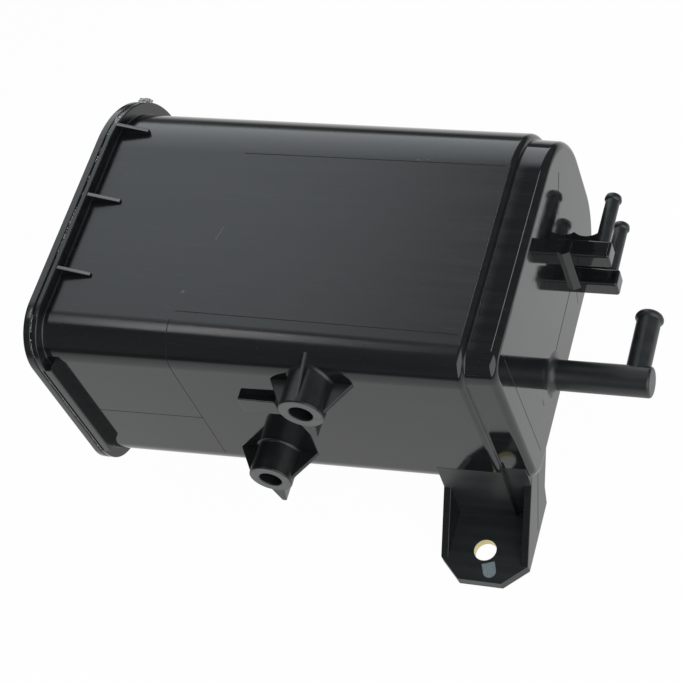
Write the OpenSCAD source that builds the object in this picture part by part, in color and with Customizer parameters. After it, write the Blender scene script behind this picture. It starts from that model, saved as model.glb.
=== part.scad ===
// Charcoal canister: moulded nylon case with hose ports, welded end cover and the packed parts inside.
// Millimetres. X runs from the cover to the port end, Y to the far round side, Z out of the upper face.
// The origin is the middle of the cover's outer face.

/* [Case] */
// Length from the weld seam to the port end face
case_length = 250; // [200:1:300]
// Width across the near and far sides at the seam
case_wide = 176.5; // [150:0.5:200]
// Height between the two broad faces at the seam
case_high = 124; // [110:0.5:140]
// Corner radius on the near side
near_round = 20; // [16:0.5:26]
// Corner radius on the far side
far_round = 48; // [40:0.5:54]
// Mould draft of the walls in degrees
draft_angle = 0.95; // [0.3:0.05:1.2]
// Wall thickness
wall = 2.8; // [2.2:0.1:3.4]
// End wall thickness
end_wall = 3.2; // [2.6:0.1:4]

/* [Neck] */
// Length of the stepped neck before the port end face
neck_length = 16; // [12:0.5:20]
// Depth of the step at the shoulder
neck_step = 3.2; // [2.4:0.1:4]
// Rounding of the end face edge
neck_edge = 4; // [2.5:0.25:5]

/* [Rim] */
// Overhang of the weld rim on the near side and broad faces
rim_over = 6; // [4:0.5:8]
// Overhang of the weld rim on the far side
rim_over_far = 9; // [6:0.5:11]
// Thickness of the case rim
rim_thick = 3.4; // [2.6:0.1:4.5]
// Thickness of the rim land on the near side
land_thick = 7; // [5:0.25:8]
// Length of the rim gussets beyond the rim
rib_length = 18; // [12:0.5:22]
// Height left at the blunt end of the rim gussets
rib_end = 1.2; // [0.6:0.1:2]
// Thickness of the rim gussets
rib_thick = 1.8; // [1.4:0.1:2.4]
// Spacing of the rim gussets
rib_pitch = 48.5; // [40:0.5:52]
// Offset of the middle gusset from the centre line
rib_offset = 3; // [-4:0.5:6]

/* [Cover] */
// Thickness of the cover plate
cover_thick = 4.7; // [3.6:0.1:6]
// Height of the locating skirt
skirt_high = 6; // [4:0.5:9]
// Thickness of the locating skirt
skirt_thick = 2.2; // [1.6:0.1:3]
// Clearance round the locating skirt
skirt_gap = 0.4; // [0.2:0.05:0.6]

/* [Vent port] */
// Vent stub diameter
vent_stub = 16.5; // [15:0.25:19]
// Vent stub position along Y
vent_y = -26; // [-34:0.5:-22]
// Vent stub position along Z
vent_z = -33; // [-36:0.5:-26]
// Reach of the vent stub from the end face
vent_reach = 53; // [44:0.5:60]
// Distance of the nozzle axis from the end of the vent stub
vent_back = 9; // [8.5:0.25:11]
// Height of the vent nozzle above the stub axis
vent_tip = 41; // [36:0.5:48]
// Vent nozzle diameter
vent_nozzle = 12.9; // [12:0.1:14]
// Vent nozzle bead diameter
vent_bead = 15.2; // [14.6:0.1:16.4]
// Passage diameter in the vent nozzle
vent_bore = 9.6; // [8.6:0.1:10.2]
// Passage diameter in the vent stub
vent_core = 9; // [7.5:0.1:9.4]
// Bevel at the end of the vent stub
vent_bevel = 1.5; // [0.5:0.1:2]
// Width of the collar round the vent stub
collar_over = 4; // [2:0.25:5]
// Height of the collar on the end face
collar_high = 4; // [2:0.25:6]

/* [Small ports] */
// Small port position along Y
port_y = 36.5; // [34:0.5:42]
// First small port position along Z
port_z = -10; // [-14:0.5:-6]
// Spacing of the two small ports
port_pitch = 25.5; // [22:0.5:28]
// Side of the small stubs
port_stub = 10.5; // [9.5:0.25:12]
// Reach of the small stubs from the end face
port_reach = 23; // [20:0.5:28]
// Distance of a small nozzle axis from the end of its stub
port_back = 6.5; // [5.5:0.25:8]
// Height of the small nozzles above the stub axis
port_tip = 38; // [32:0.5:44]
// Small nozzle diameter
port_nozzle = 7.7; // [6.8:0.1:8.4]
// Small nozzle bead diameter
port_bead = 9.3; // [8.8:0.1:10]
// Passage diameter in the small nozzles
port_bore = 4.4; // [4:0.1:5]
// Passage diameter in the small stubs
port_core = 3.8; // [3:0.1:4.2]
// Edge rounding of the small stubs
port_edge = 1.5; // [0.8:0.1:2.5]
// Thickness of the curved webs
port_web = 2.4; // [1.8:0.1:3.2]
// Height of the curved webs above the stubs at their ends
port_web_high = 8; // [7:0.25:11]
// Height of the curved webs above the stubs at the hollow's lowest point
port_web_low = 5; // [3:0.25:6.5]
// Radius of the hollow in the curved webs
port_web_round = 9.5; // [8:0.25:14]
// Depth of the plank below the small stubs at the end face
plank_deep = 4; // [3:0.25:6]
// Reach of the plank from the end face
plank_reach = 3.6; // [2.5:0.1:6]
// Slope of the plank's near face over its reach
plank_slope = 1.7; // [0.5:0.1:2.5]
// Height of the plank's top above the first small port
plank_top = 10.5; // [6:0.25:13]
// Length of the plank along Z
plank_long = 32.5; // [28:0.5:36]

/* [Hose beads] */
// Length of the ramp below a hose bead
bead_ramp = 0.8; // [0.4:0.1:2]
// Length of a hose bead
bead_flat = 1.4; // [1:0.1:2.4]
// Length of the nose above a hose bead
bead_nose = 1.6; // [0.8:0.1:2.5]
// Width by which the nose stays over the bare tube
nose_over = 0.25; // [0:0.05:0.5]

/* [Bosses] */
// Boss diameter
boss_dia = 24; // [21:0.25:27]
// Boss bore diameter
boss_bore = 12.5; // [10:0.1:14]
// Depth of the boss bore
boss_depth = 14; // [10:0.5:16]
// Reach of the bosses from the near side at the seam
boss_reach = 16; // [14:0.25:19]
// Upper boss position along X from the seam
boss_a_x = 152.5; // [140:0.5:165]
// Upper boss position along Z
boss_a_z = 39; // [32:0.5:42]
// Lower boss position along X from the seam
boss_b_x = 110.5; // [100:0.5:122]
// Lower boss position along Z
boss_b_z = -35; // [-38:0.5:-28]
// Reach of the boss gussets from the boss axis
boss_web = 22.5; // [18:0.5:26]
// Thickness of the boss gussets
boss_web_thick = 2.6; // [2:0.1:3.4]
// Reach of the upper boss's narrow gusset from the boss wall at its foot
boss_rib = 5; // [2.5:0.25:6]
// Width of the lower fin where it leaves the boss
boss_fin_root = 7.5; // [5:0.25:10]
// Drop of the gussets below the boss end
boss_web_drop = 1.5; // [0.5:0.1:3]
// Drop of the fin below the boss end
boss_fin_drop = 0.6; // [0.2:0.1:2]

/* [Lug] */
// Lug hole position along X from the seam
lug_x = 221.4; // [216:0.2:224]
// Lug hole position beyond the centre plane along Y
lug_y = 108.8; // [104:0.2:114]
// Depth of the lug's upper face below the centre plane
lug_drop = 80; // [74:0.5:86]
// Lug pad thickness
lug_thick = 5.5; // [4.5:0.25:7]
// Lug pad width
lug_wide = 48.2; // [42:0.2:52]
// Offset of the pad's middle from its hole along X
lug_offset = 1.1; // [-3:0.1:3]
// Lean of the lug's upright wall in degrees
lug_lean = 4.5; // [0:0.5:8]
// Angle of the side gussets' edges over the pad in degrees
lug_gusset = 38; // [25:1:50]
// Distance from the hole to the lug's tip
lug_tip = 18.4; // [15:0.2:20]
// Chamfer at the lug's tip
lug_chamfer = 11.5; // [8:0.25:14]
// Width of the flat at the lug's tip
lug_tip_wide = 24; // [18:0.5:30]
// Reach of the lug pad under the body
lug_under = 10; // [6:0.5:14]
// Run of the lug's end webs under the body
lug_web_run = 20; // [12:0.5:26]
// Run of the end webs to their bend
lug_bend_run = 4.5; // [2:0.25:8]
// Rise of the end webs to their bend
lug_bend_rise = 10.5; // [6:0.25:14]
// Thickness of the lug webs
lug_web = 4; // [3:0.25:5]
// Bush bore for the fixing bolt
bush_bore = 12.2; // [10.5:0.1:12.6]
// Bush outside diameter
bush_dia = 14.6; // [13.6:0.1:16]
// Radial clearance of the bush in the lug
bush_gap = 0.05; // [0:0.01:0.1]

/* [Marking block] */
// Length of the bare block beside the upper boss
mark_long = 21; // [14:0.5:22]
// Height of the bare block
mark_high = 12; // [9:0.5:14]
// Reach of the bare block
mark_reach = 3.5; // [1.5:0.1:4]
// Start of the bare block along X from the seam
mark_x = 107; // [102:0.5:112]
// Lower edge of the bare block along Z
mark_z = 11; // [8:0.5:16]

/* [Filling] */
// Position of the chamber wall along Y
split_y = -8; // [-14:0.5:-4]
// Thickness of the chamber wall
split_thick = 2.6; // [2:0.1:3.4]
// Height of the standoffs on the end wall
stand_high = 5; // [3.5:0.25:7]
// Thickness of the standoffs
stand_thick = 2; // [1.6:0.1:3]
// Spacing of the standoffs in the main chamber
stand_main = 46; // [36:0.5:50]
// Spacing of the standoffs in the vent chamber
stand_vent = 20; // [14:0.5:24]
// Passage left open between the chambers at the cover
passage = 14; // [11:0.5:18]
// Thickness of the foam filters
foam_thick = 5; // [3:0.25:8]
// Thickness of the pressure plates
plate_thick = 3; // [2.4:0.1:4]
// Room for the springs between cover and plate
spring_room = 30; // [24:0.5:36]
// Clearance of foam and charcoal from the walls
fill_gap = 0.2; // [0.1:0.05:0.5]
// Clearance of the pressure plates from the walls
plate_gap = 1; // [0.6:0.1:1.6]
// Vent hole diameter in the pressure plates
plate_hole = 5; // [3:0.25:6]
// Spacing of the pressure plate holes
plate_pitch = 12; // [10:0.5:13]
// Rows of holes in the pressure plates
plate_rows = 7; // [3:2:7]
// Columns of holes in the main pressure plate
main_columns = 6; // [4:1:6]
// Columns of holes in the vent pressure plate
vent_columns = 5; // [3:1:5]
// Spring wire diameter
spring_wire = 1.8; // [1.2:0.1:2.2]
// Spring mean diameter
spring_dia = 25; // [20:0.5:28]
// Spring turns
spring_turns = 5; // [4:0.5:7]
// Clearance between a spring and its seat
seat_gap = 0.6; // [0.3:0.1:1]
// Height of the spring seats
seat_high = 4; // [2.5:0.25:5]
// Wall of the spring seats
seat_wall = 2.5; // [1.8:0.1:4]
// Spacing of the two main springs
spring_pitch = 52; // [40:0.5:60]

/* [View] */
// Sub-part to show

/* [Hidden] */
$fn = 72;
half_y = case_wide / 2;
half_z = case_high / 2;
slope = tan(draft_angle);
shoulder = case_length - neck_length;
rim_near = half_y + rim_over;
rim_far = half_y + rim_over_far;
rim_z = half_z + rim_over;
end_in = case_length - end_wall;
port_foam_x = end_in - stand_high - foam_thick;
plate_x = spring_room;
rear_foam_x = plate_x + plate_thick;
bed_x = rear_foam_x + foam_thick;
cut = 1;
lug_mid = lug_x + lug_offset;
lug_left = lug_mid - lug_wide / 2;
lug_right = lug_mid + lug_wide / 2;
lug_low = lug_drop + lug_thick;
side_at_neck = half_y - slope * shoulder;
bush_seat = bush_dia + 2 * bush_gap;
room_y = half_y - slope * plate_x - wall;
main_mid_y = (split_y + split_thick + room_y) / 2;
vent_mid_y = (split_y - room_y) / 2;
main_spring_z = spring_pitch / 2;
seat_dia = spring_dia - spring_wire - 2 * seat_gap;
fuse = 0.4;
fin_start = (boss_dia + boss_bore) / 4;
round_steps = 7;
rib_stop = rim_thick + rib_length;
rib_foot = half_z - 2 * wall;
rib_tail = half_z - slope * rib_stop + rib_end;

// Turns a shape drawn upright along Z so that it lies along X behind the seam
module lay() {
    translate([cover_thick, 0, 0])
        rotate([90, 0, 90])
            children();
}

// Places a shape drawn in frame axes with X counted from the seam
module from_seam() {
    translate([cover_thick, 0, 0])
        children();
}

// Quarter round from the side to the end, as points
function quarter(x, y, r) = [for (i = [0 : round_steps])
    [x + r * cos(90 * i / round_steps), y + r * sin(90 * i / round_steps)]];

// Outer wall section with a drafted side, round shoulder, neck and round end edge
module outer_profile(r) {
    body_r = r - slope * (shoulder - neck_step);
    neck_r = body_r - neck_step;
    polygon(concat([[0, 0], [r, 0]], quarter(neck_r, shoulder - neck_step, neck_step),
        quarter(neck_r - neck_edge, case_length - neck_edge, neck_edge), [[0, case_length]]));
}

// Inner wall section with an even gap to the wall
module inner_profile(r, gap) {
    body_r = r - slope * (shoulder - neck_step) - wall - gap;
    neck_r = body_r - neck_step;
    polygon([[0, -cut], [r + slope * cut - wall - gap, -cut], [body_r, shoulder - neck_step - wall],
        [neck_r, shoulder + neck_step - wall], [neck_r, end_in - min(gap, 0)], [0, end_in - min(gap, 0)]]);
}

// Outline of the section: two close near corners and two wide far corners
module outline(near, far, high, near_r, far_r) {
    translate([near_r - near, -high])
        square([near + far - near_r - far_r, 2 * high]);
    translate([-near, near_r - high])
        square([near_r, 2 * (high - near_r)]);
    translate([far - far_r, far_r - high])
        square([far_r, 2 * (high - far_r)]);
    for (s = [-1, 1]) {
        translate([near_r - near, s * (high - near_r)])
            circle(near_r);
        translate([far - far_r, s * (high - far_r)])
            circle(far_r);
    }
}

// Solid outside of the case
module case_solid() {
    near_c = half_y - near_round;
    far_c = half_y - far_round;
    translate([-near_c, 0, 0])
        rotate([90, 0, 90])
            linear_extrude(near_c + far_c) {
                outer_profile(half_z);
                mirror([1, 0])
                    outer_profile(half_z);
            }
    translate([-near_c, half_z - near_round, 0])
        rotate([90, 0, 0])
            linear_extrude(2 * (half_z - near_round))
                mirror([1, 0])
                    outer_profile(near_round);
    translate([far_c, half_z - far_round, 0])
        rotate([90, 0, 0])
            linear_extrude(2 * (half_z - far_round))
                outer_profile(far_round);
    for (s = [0, 1]) {
        mirror([0, s, 0]) {
            translate([-near_c, half_z - near_round, 0])
                rotate([0, 0, 90])
                    rotate_extrude(angle = 90)
                        outer_profile(near_round);
            translate([far_c, half_z - far_round, 0])
                rotate_extrude(angle = 90)
                    outer_profile(far_round);
        }
    }
}

// Solid inside of the case, drawn in by a gap
module case_room(gap) {
    near_c = half_y - near_round;
    far_c = half_y - far_round;
    translate([-near_c, 0, 0])
        rotate([90, 0, 90])
            linear_extrude(near_c + far_c) {
                inner_profile(half_z, gap);
                mirror([1, 0])
                    inner_profile(half_z, gap);
            }
    translate([-near_c, half_z - near_round, 0])
        rotate([90, 0, 0])
            linear_extrude(2 * (half_z - near_round))
                mirror([1, 0])
                    inner_profile(near_round, gap);
    translate([far_c, half_z - far_round, 0])
        rotate([90, 0, 0])
            linear_extrude(2 * (half_z - far_round))
                inner_profile(far_round, gap);
    for (s = [0, 1]) {
        mirror([0, s, 0]) {
            translate([-near_c, half_z - near_round, 0])
                rotate([0, 0, 90])
                    rotate_extrude(angle = 90)
                        inner_profile(near_round, gap);
            translate([far_c, half_z - far_round, 0])
                rotate_extrude(angle = 90)
                    inner_profile(far_round, gap);
        }
    }
}

// Part of a chamber between two stations, main side or vent side
module chamber(side, x0, x1, gap) {
    y0 = side == "main" ? split_y + split_thick + gap : -half_y;
    y1 = side == "main" ? half_y : split_y - gap;
    intersection() {
        case_room(gap);
        translate([y0, -half_z, x0])
            cube([y1 - y0, case_high, x1 - x0]);
    }
}

// Rim of the case with its land and gussets
module case_rim() {
    linear_extrude(rim_thick)
        outline(rim_near, rim_far, rim_z, near_round + rim_over, far_round + rim_over_far);
    translate([-rim_near, -(half_z - near_round), 0])
        cube([rim_over + wall, 2 * (half_z - near_round), land_thick]);
    for (s = [-1, 1], k = [-1, 0, 1]) {
        translate([rib_offset + k * rib_pitch - rib_thick / 2, 0, 0])
            rotate([90, 0, 90])
                linear_extrude(rib_thick)
                    polygon([[s * rib_foot, 0], [s * rim_z, 0], [s * rim_z, rim_thick],
                        [s * rib_tail, rib_stop], [s * rib_foot, rib_stop]]);
    }
}

// Round bar along X from the seam frame, pointing to the port end
module bar_x(y, z, x0, x1, dia) {
    translate([x0, y, z])
        rotate([0, 90, 0])
            cylinder(h = x1 - x0, d = dia);
}

// Round bar along Y
module bar_y(x, z, y0, y1, dia) {
    translate([x, y0, z])
        rotate([-90, 0, 0])
            cylinder(h = y1 - y0, d = dia);
}

// Hose nozzle along Y with a bead below its tip
module nozzle(x, z, y0, y1, dia, bead) {
    high = y1 - y0;
    bead_low = high - bead_nose - bead_flat;
    translate([x, y0, z])
        rotate([-90, 0, 0])
            rotate_extrude()
                polygon([[0, 0], [dia / 2, 0], [dia / 2, bead_low - bead_ramp], [bead / 2, bead_low],
                    [bead / 2, high - bead_nose], [dia / 2 + nose_over, high], [0, high]]);
}

// Vent port: round stub, collar and upturned nozzle
module vent_port() {
    x_end = case_length + vent_reach;
    x_up = x_end - vent_back;
    bar_x(vent_y, vent_z, end_in, x_end - vent_bevel, vent_stub);
    translate([x_end - vent_bevel, vent_y, vent_z])
        rotate([0, 90, 0])
            cylinder(h = vent_bevel, d1 = vent_stub, d2 = vent_stub - 2 * vent_bevel);
    bar_x(vent_y, vent_z, case_length - fuse, case_length, vent_stub + 2 * collar_over);
    translate([case_length, vent_y, vent_z])
        rotate([0, 90, 0])
            cylinder(h = collar_high, d1 = vent_stub + 2 * collar_over, d2 = vent_stub);
    nozzle(x_up, vent_z, vent_y, vent_y + vent_tip, vent_nozzle, vent_bead);
}

// Passage through the vent port
module vent_passage() {
    x_up = case_length + vent_reach - vent_back;
    bar_x(vent_y, vent_z, end_in - cut, x_up, vent_core);
    bar_y(x_up, vent_z, vent_y, vent_y + vent_tip + cut, vent_bore);
}

// One small port: square stub, curved web and upturned nozzle
module small_port(z) {
    x_end = case_length + port_reach;
    x_up = x_end - port_back;
    web = port_reach - port_back;
    half = port_stub / 2;
    flat = half - port_edge;
    translate([end_in, port_y - half, z - flat])
        cube([x_end - end_in, port_stub, 2 * flat]);
    translate([end_in, port_y - flat, z - half])
        cube([x_end - end_in, 2 * flat, port_stub]);
    for (sy = [-1, 1], sz = [-1, 1])
        bar_x(port_y + sy * flat, z + sz * flat, end_in, x_end, 2 * port_edge);
    nozzle(x_up, z, port_y, port_y + port_tip, port_nozzle, port_bead);
    translate([case_length - fuse, port_y, z - port_web / 2])
        difference() {
            cube([web + fuse, half + port_web_high, port_web]);
            translate([(web - port_nozzle / 2) / 2 + fuse, half + port_web_low + port_web_round, -cut])
                cylinder(h = port_web + 2 * cut, r = port_web_round);
        }
}

// Passage through one small port
module small_passage(z) {
    x_up = case_length + port_reach - port_back;
    bar_x(port_y, z, end_in - cut, x_up, port_core);
    bar_y(x_up, z, port_y, port_y + port_tip + cut, port_bore);
}

// Both small ports with the plank that joins them
module small_ports() {
    small_port(port_z);
    small_port(port_z - port_pitch);
    low = port_y - port_stub / 2 - plank_deep;
    tip = case_length + plank_reach;
    translate([0, 0, port_z + plank_top - plank_long])
        linear_extrude(plank_long)
            polygon([[end_in, low], [case_length, low], [tip, low + plank_slope], [tip, port_y],
                [end_in, port_y]]);
}

// Gusset along local X, its foot carried down inside the wall
module gusset(reach, high) {
    run = (reach - boss_dia / 2) / high;
    rotate([90, 0, 0])
        linear_extrude(boss_web_thick, center = true)
            polygon([[0, -near_round], [reach + run * near_round, -near_round],
                [boss_dia / 2, high], [0, high]]);
}

// Mounting boss on the near side with two wide gussets, a fin below and, where ribbed, a narrow one above
module boss(x, z, ribbed) {
    face = half_y - slope * x;
    high = half_y + boss_reach - face;
    translate([x, -face, z])
        rotate([90, 0, 0]) {
            translate([0, 0, -wall])
                cylinder(h = high + wall, d = boss_dia);
            for (a = [0, 180])
                rotate([0, 0, a])
                    gusset(boss_web, high - boss_web_drop);
            if (ribbed)
                rotate([0, 0, 90])
                    gusset(boss_dia / 2 + boss_rib, high - boss_web_drop);
            translate([0, 0, -near_round])
                linear_extrude(near_round + high - boss_fin_drop)
                    polygon([[-boss_fin_root / 2, -fin_start], [boss_fin_root / 2, -fin_start],
                        [boss_web_thick / 2, -boss_web], [-boss_web_thick / 2, -boss_web]]);
        }
}

// Blind bore of a boss
module boss_hole(x, z) {
    tip = half_y + boss_reach;
    bar_y(x, z, -tip - cut, -tip + boss_depth, boss_bore);
}

// Upright wall of the lug between two places along X, leaning out from the side at y
module lug_wall(x0, x1, y) {
    top = -half_z + near_round;
    foot = y - (top + lug_low) * tan(lug_lean);
    translate([x0, 0, 0])
        rotate([90, 0, 90])
            linear_extrude(x1 - x0)
                polygon([[foot, -lug_low], [foot + lug_web, -lug_low], [y + lug_web, top], [y, top]]);
}

// Side plate of the lug: gusset over the pad, and web under the body behind the wall at y
module lug_plate(x, y) {
    top = -half_z + near_round;
    low = lug_chamfer - lug_y - lug_tip;
    back = lug_under - side_at_neck;
    wall_mid = y + lug_web / 2;
    translate([x, 0, 0])
        rotate([90, 0, 90])
            linear_extrude(lug_web)
                polygon([[low, -lug_low], [low, -lug_drop],
                    [wall_mid, (wall_mid - low) * tan(lug_gusset) - lug_drop], [wall_mid, top],
                    [back + lug_web_run, top], [back + lug_web_run, top - near_round],
                    [back + lug_bend_run, lug_bend_rise - lug_low], [back, -lug_low]]);
}

// Lug: bolt pad, upright wall that follows the neck's step, and two side plates
module lug() {
    tip = -lug_y - lug_tip;
    low = tip + lug_chamfer;
    back = lug_under - side_at_neck;
    root = -side_at_neck;
    flat_half = lug_tip_wide / 2;
    translate([0, 0, -lug_low])
        linear_extrude(lug_thick)
            polygon([[lug_left, back], [lug_left, low], [lug_mid - flat_half, tip],
                [lug_mid + flat_half, tip], [lug_right, low], [lug_right, back]]);
    lug_wall(lug_left, shoulder, root);
    lug_wall(shoulder - lug_web, lug_right, root + neck_step);
    lug_plate(lug_left, root);
    lug_plate(lug_right - lug_web, root + neck_step);
}

// Bare block beside the upper boss
module mark_block() {
    face = half_y - slope * mark_x;
    translate([mark_x, -face - mark_reach, mark_z])
        cube([mark_long, mark_reach + wall / 2, mark_high]);
}

// Chamber wall and standoffs moulded inside the case
module case_inside() {
    intersection() {
        case_room(-fuse);
        union() {
            translate([split_y, -half_z, passage])
                cube([split_thick, case_high, case_length]);
            for (s = [-0.5, 0.5], at = [[vent_mid_y, stand_vent], [main_mid_y, stand_main]])
                translate([at[0] + s * at[1] - stand_thick / 2, -half_z, end_in - stand_high])
                    cube([stand_thick, case_high, stand_high + end_wall]);
        }
    }
}

// Case: one moulding with rim, ports, bosses and lug
module case() {
    color([0.13, 0.14, 0.14]) {
        difference() {
            union() {
                lay() {
                    case_solid();
                    case_rim();
                }
                from_seam() {
                    vent_port();
                    small_ports();
                    boss(boss_a_x, boss_a_z, true);
                    boss(boss_b_x, boss_b_z, false);
                    lug();
                    mark_block();
                }
            }
            lay()
                case_room(0);
            from_seam() {
                vent_passage();
                small_passage(port_z);
                small_passage(port_z - port_pitch);
                boss_hole(boss_a_x, boss_a_z);
                boss_hole(boss_b_x, boss_b_z);
                translate([lug_x, -lug_y, -lug_low - cut])
                    cylinder(h = lug_thick + 2 * cut, d = bush_seat);
            }
        }
        lay()
            case_inside();
    }
}

// Ring that keeps a spring in place, standing up from its base
module spring_seat(y, z) {
    translate([y, z, 0])
        difference() {
            cylinder(h = seat_high, d = seat_dia);
            translate([0, 0, -cut])
                cylinder(h = seat_high + 2 * cut, d = seat_dia - 2 * seat_wall);
        }
}

// Welded end cover with locating skirt and spring seats
module cover() {
    out = wall + skirt_gap;
    in = out + skirt_thick;
    color([0.15, 0.16, 0.16])
        lay() {
            translate([0, 0, -cover_thick])
                linear_extrude(cover_thick)
                    outline(rim_near, rim_far, rim_z, near_round + rim_over, far_round + rim_over_far);
            translate([0, 0, -fuse])
                linear_extrude(skirt_high + fuse)
                    difference() {
                        outline(half_y - out, half_y - out, half_z - out, near_round - out, far_round - out);
                        outline(half_y - in, half_y - in, half_z - in, near_round - in, far_round - in);
                    }
            translate([0, 0, -fuse]) {
                spring_seat(main_mid_y, main_spring_z);
                spring_seat(main_mid_y, -main_spring_z);
                spring_seat(vent_mid_y, 0);
            }
        }
}

// Steel bush that lines the lug hole
module lug_bush() {
    color([0.72, 0.66, 0.42])
        from_seam()
            translate([lug_x, -lug_y, -lug_low])
                difference() {
                    cylinder(h = lug_thick, d = bush_dia);
                    translate([0, 0, -cut])
                        cylinder(h = lug_thick + 2 * cut, d = bush_bore);
                }
}

// Charcoal of the main chamber
module charcoal_main() {
    color([0.05, 0.05, 0.05])
        lay()
            chamber("main", bed_x, port_foam_x, fill_gap);
}

// Charcoal of the vent chamber
module charcoal_vent() {
    color([0.05, 0.05, 0.05])
        lay()
            chamber("vent", bed_x, port_foam_x, fill_gap);
}

// Foam at the port end of the main chamber
module port_foam_main() {
    color([0.55, 0.55, 0.52])
        lay()
            chamber("main", port_foam_x, port_foam_x + foam_thick, fill_gap);
}

// Foam at the port end of the vent chamber
module port_foam_vent() {
    color([0.55, 0.55, 0.52])
        lay()
            chamber("vent", port_foam_x, port_foam_x + foam_thick, fill_gap);
}

// Foam at the cover end of the main chamber
module rear_foam_main() {
    color([0.55, 0.55, 0.52])
        lay()
            chamber("main", rear_foam_x, bed_x, fill_gap);
}

// Foam at the cover end of the vent chamber
module rear_foam_vent() {
    color([0.55, 0.55, 0.52])
        lay()
            chamber("vent", rear_foam_x, bed_x, fill_gap);
}

// Grid of holes through a pressure plate, left out where a spring sits
module plate_holes(mid_y, columns, seats) {
    for (i = [0 : columns - 1], j = [0 : plate_rows - 1]) {
        y = mid_y + (i - (columns - 1) / 2) * plate_pitch;
        z = (j - (plate_rows - 1) / 2) * plate_pitch;
        clear = min([for (s = seats) norm([y - s[0], z - s[1]])]);
        if (clear > spring_dia / 2 + spring_wire + plate_hole / 2)
            translate([y, z, plate_x - cut])
                cylinder(h = plate_thick + 2 * cut, d = plate_hole);
    }
}

// Pressure plate of the main chamber
module plate_main() {
    color([0.3, 0.31, 0.31])
        lay() {
            difference() {
                chamber("main", plate_x, rear_foam_x, plate_gap);
                plate_holes(main_mid_y, main_columns,
                    [[main_mid_y, main_spring_z], [main_mid_y, -main_spring_z]]);
            }
            for (s = [-1, 1])
                translate([0, 0, plate_x - seat_high + fuse])
                    spring_seat(main_mid_y, s * main_spring_z);
        }
}

// Pressure plate of the vent chamber
module plate_vent() {
    color([0.3, 0.31, 0.31])
        lay() {
            difference() {
                chamber("vent", plate_x, rear_foam_x, plate_gap);
                plate_holes(vent_mid_y, vent_columns, [[vent_mid_y, 0]]);
            }
            translate([0, 0, plate_x - seat_high + fuse])
                spring_seat(vent_mid_y, 0);
        }
}

// Coil spring with closed ends, standing from the cover to the plate
module spring(y, z) {
    sides = 8;
    steps = 20 * spring_turns;
    dead = 0.75;
    rise = spring_room - spring_wire;
    level = [for (i = [0 : steps]) let (t = i * spring_turns / steps)
        spring_wire / 2 + rise * min(1, max(0, (t - dead) / (spring_turns - 2 * dead)))];
    points = [for (i = [0 : steps], j = [0 : sides - 1])
        let (a = 360 * i * spring_turns / steps, b = 360 * (j + 0.5) / sides,
            r = spring_dia / 2 + spring_wire / 2 * cos(b))
        [r * cos(a), r * sin(a), level[i] + spring_wire / 2 * sin(b)]];
    walls = [for (i = [0 : steps - 1], j = [0 : sides - 1])
        let (k = (j + 1) % sides)
        [i * sides + j, (i + 1) * sides + j, (i + 1) * sides + k, i * sides + k]];
    ends = [[for (j = [0 : sides - 1]) j], [for (j = [sides - 1 : -1 : 0]) steps * sides + j]];
    translate([y, z, 0])
        polyhedron(points = points, faces = concat(walls, ends), convexity = 10);
}

// Spring of the main chamber on the lower side
module spring_main_low() {
    color([0.6, 0.6, 0.6])
        lay()
            spring(main_mid_y, -main_spring_z);
}

// Spring of the main chamber on the upper side
module spring_main_high() {
    color([0.6, 0.6, 0.6])
        lay()
            spring(main_mid_y, main_spring_z);
}

// Spring of the vent chamber
module spring_vent() {
    color([0.6, 0.6, 0.6])
        lay()
            spring(vent_mid_y, 0);
}

case();
cover();
lug_bush();
charcoal_main();
charcoal_vent();
port_foam_main();
port_foam_vent();
rear_foam_main();
rear_foam_vent();
plate_main();
plate_vent();
spring_main_low();
spring_main_high();
spring_vent();
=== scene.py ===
"""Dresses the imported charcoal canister: moulded case, welded cover, hose ports, bosses, lug and marks."""

import logging
import math
from collections.abc import Callable, Sequence
from dataclasses import dataclass, field
from enum import Enum
from typing import Any

import bmesh
import bpy
from mathutils import Matrix, Vector


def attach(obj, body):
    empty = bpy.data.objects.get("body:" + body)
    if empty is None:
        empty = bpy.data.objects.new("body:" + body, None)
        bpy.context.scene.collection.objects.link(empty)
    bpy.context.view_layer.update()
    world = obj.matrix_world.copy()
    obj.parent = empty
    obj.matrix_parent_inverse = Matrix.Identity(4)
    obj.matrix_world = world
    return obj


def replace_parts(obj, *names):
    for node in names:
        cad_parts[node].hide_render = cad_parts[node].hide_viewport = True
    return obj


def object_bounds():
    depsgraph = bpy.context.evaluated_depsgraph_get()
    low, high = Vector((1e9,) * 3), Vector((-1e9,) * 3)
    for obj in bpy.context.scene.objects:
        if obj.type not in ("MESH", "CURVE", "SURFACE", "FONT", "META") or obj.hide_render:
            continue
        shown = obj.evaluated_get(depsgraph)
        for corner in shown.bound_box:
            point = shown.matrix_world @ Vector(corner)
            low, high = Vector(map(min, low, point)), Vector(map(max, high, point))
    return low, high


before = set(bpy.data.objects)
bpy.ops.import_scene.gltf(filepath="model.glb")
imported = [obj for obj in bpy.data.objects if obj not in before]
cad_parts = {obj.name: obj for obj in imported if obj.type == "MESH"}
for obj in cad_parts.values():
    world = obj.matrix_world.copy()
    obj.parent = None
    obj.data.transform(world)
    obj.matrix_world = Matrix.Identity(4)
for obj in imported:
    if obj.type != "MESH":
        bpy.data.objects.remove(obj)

CAD_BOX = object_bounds()
LOG = logging.getLogger("canister")

# Metres in a millimetre, and the seam's place along X in the frame
MM = 0.001
SEAM = 4.7

# Edges sharper than the first are rounded by a bevel, edges sharper than the second stay sharp
BEVEL_FROM = math.radians(38)
SHARP_FROM = math.radians(50)

Point = tuple[float, float, float]
Flat = tuple[float, float]
Strokes = tuple[tuple[Flat, ...], ...]
Tree = bpy.types.NodeTree
Socket = bpy.types.NodeSocket

# Lengths and shares below this count as nothing, and so does the slope between two lines below the second
TINY = 1e-6
ALIKE = 1e-9

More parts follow.
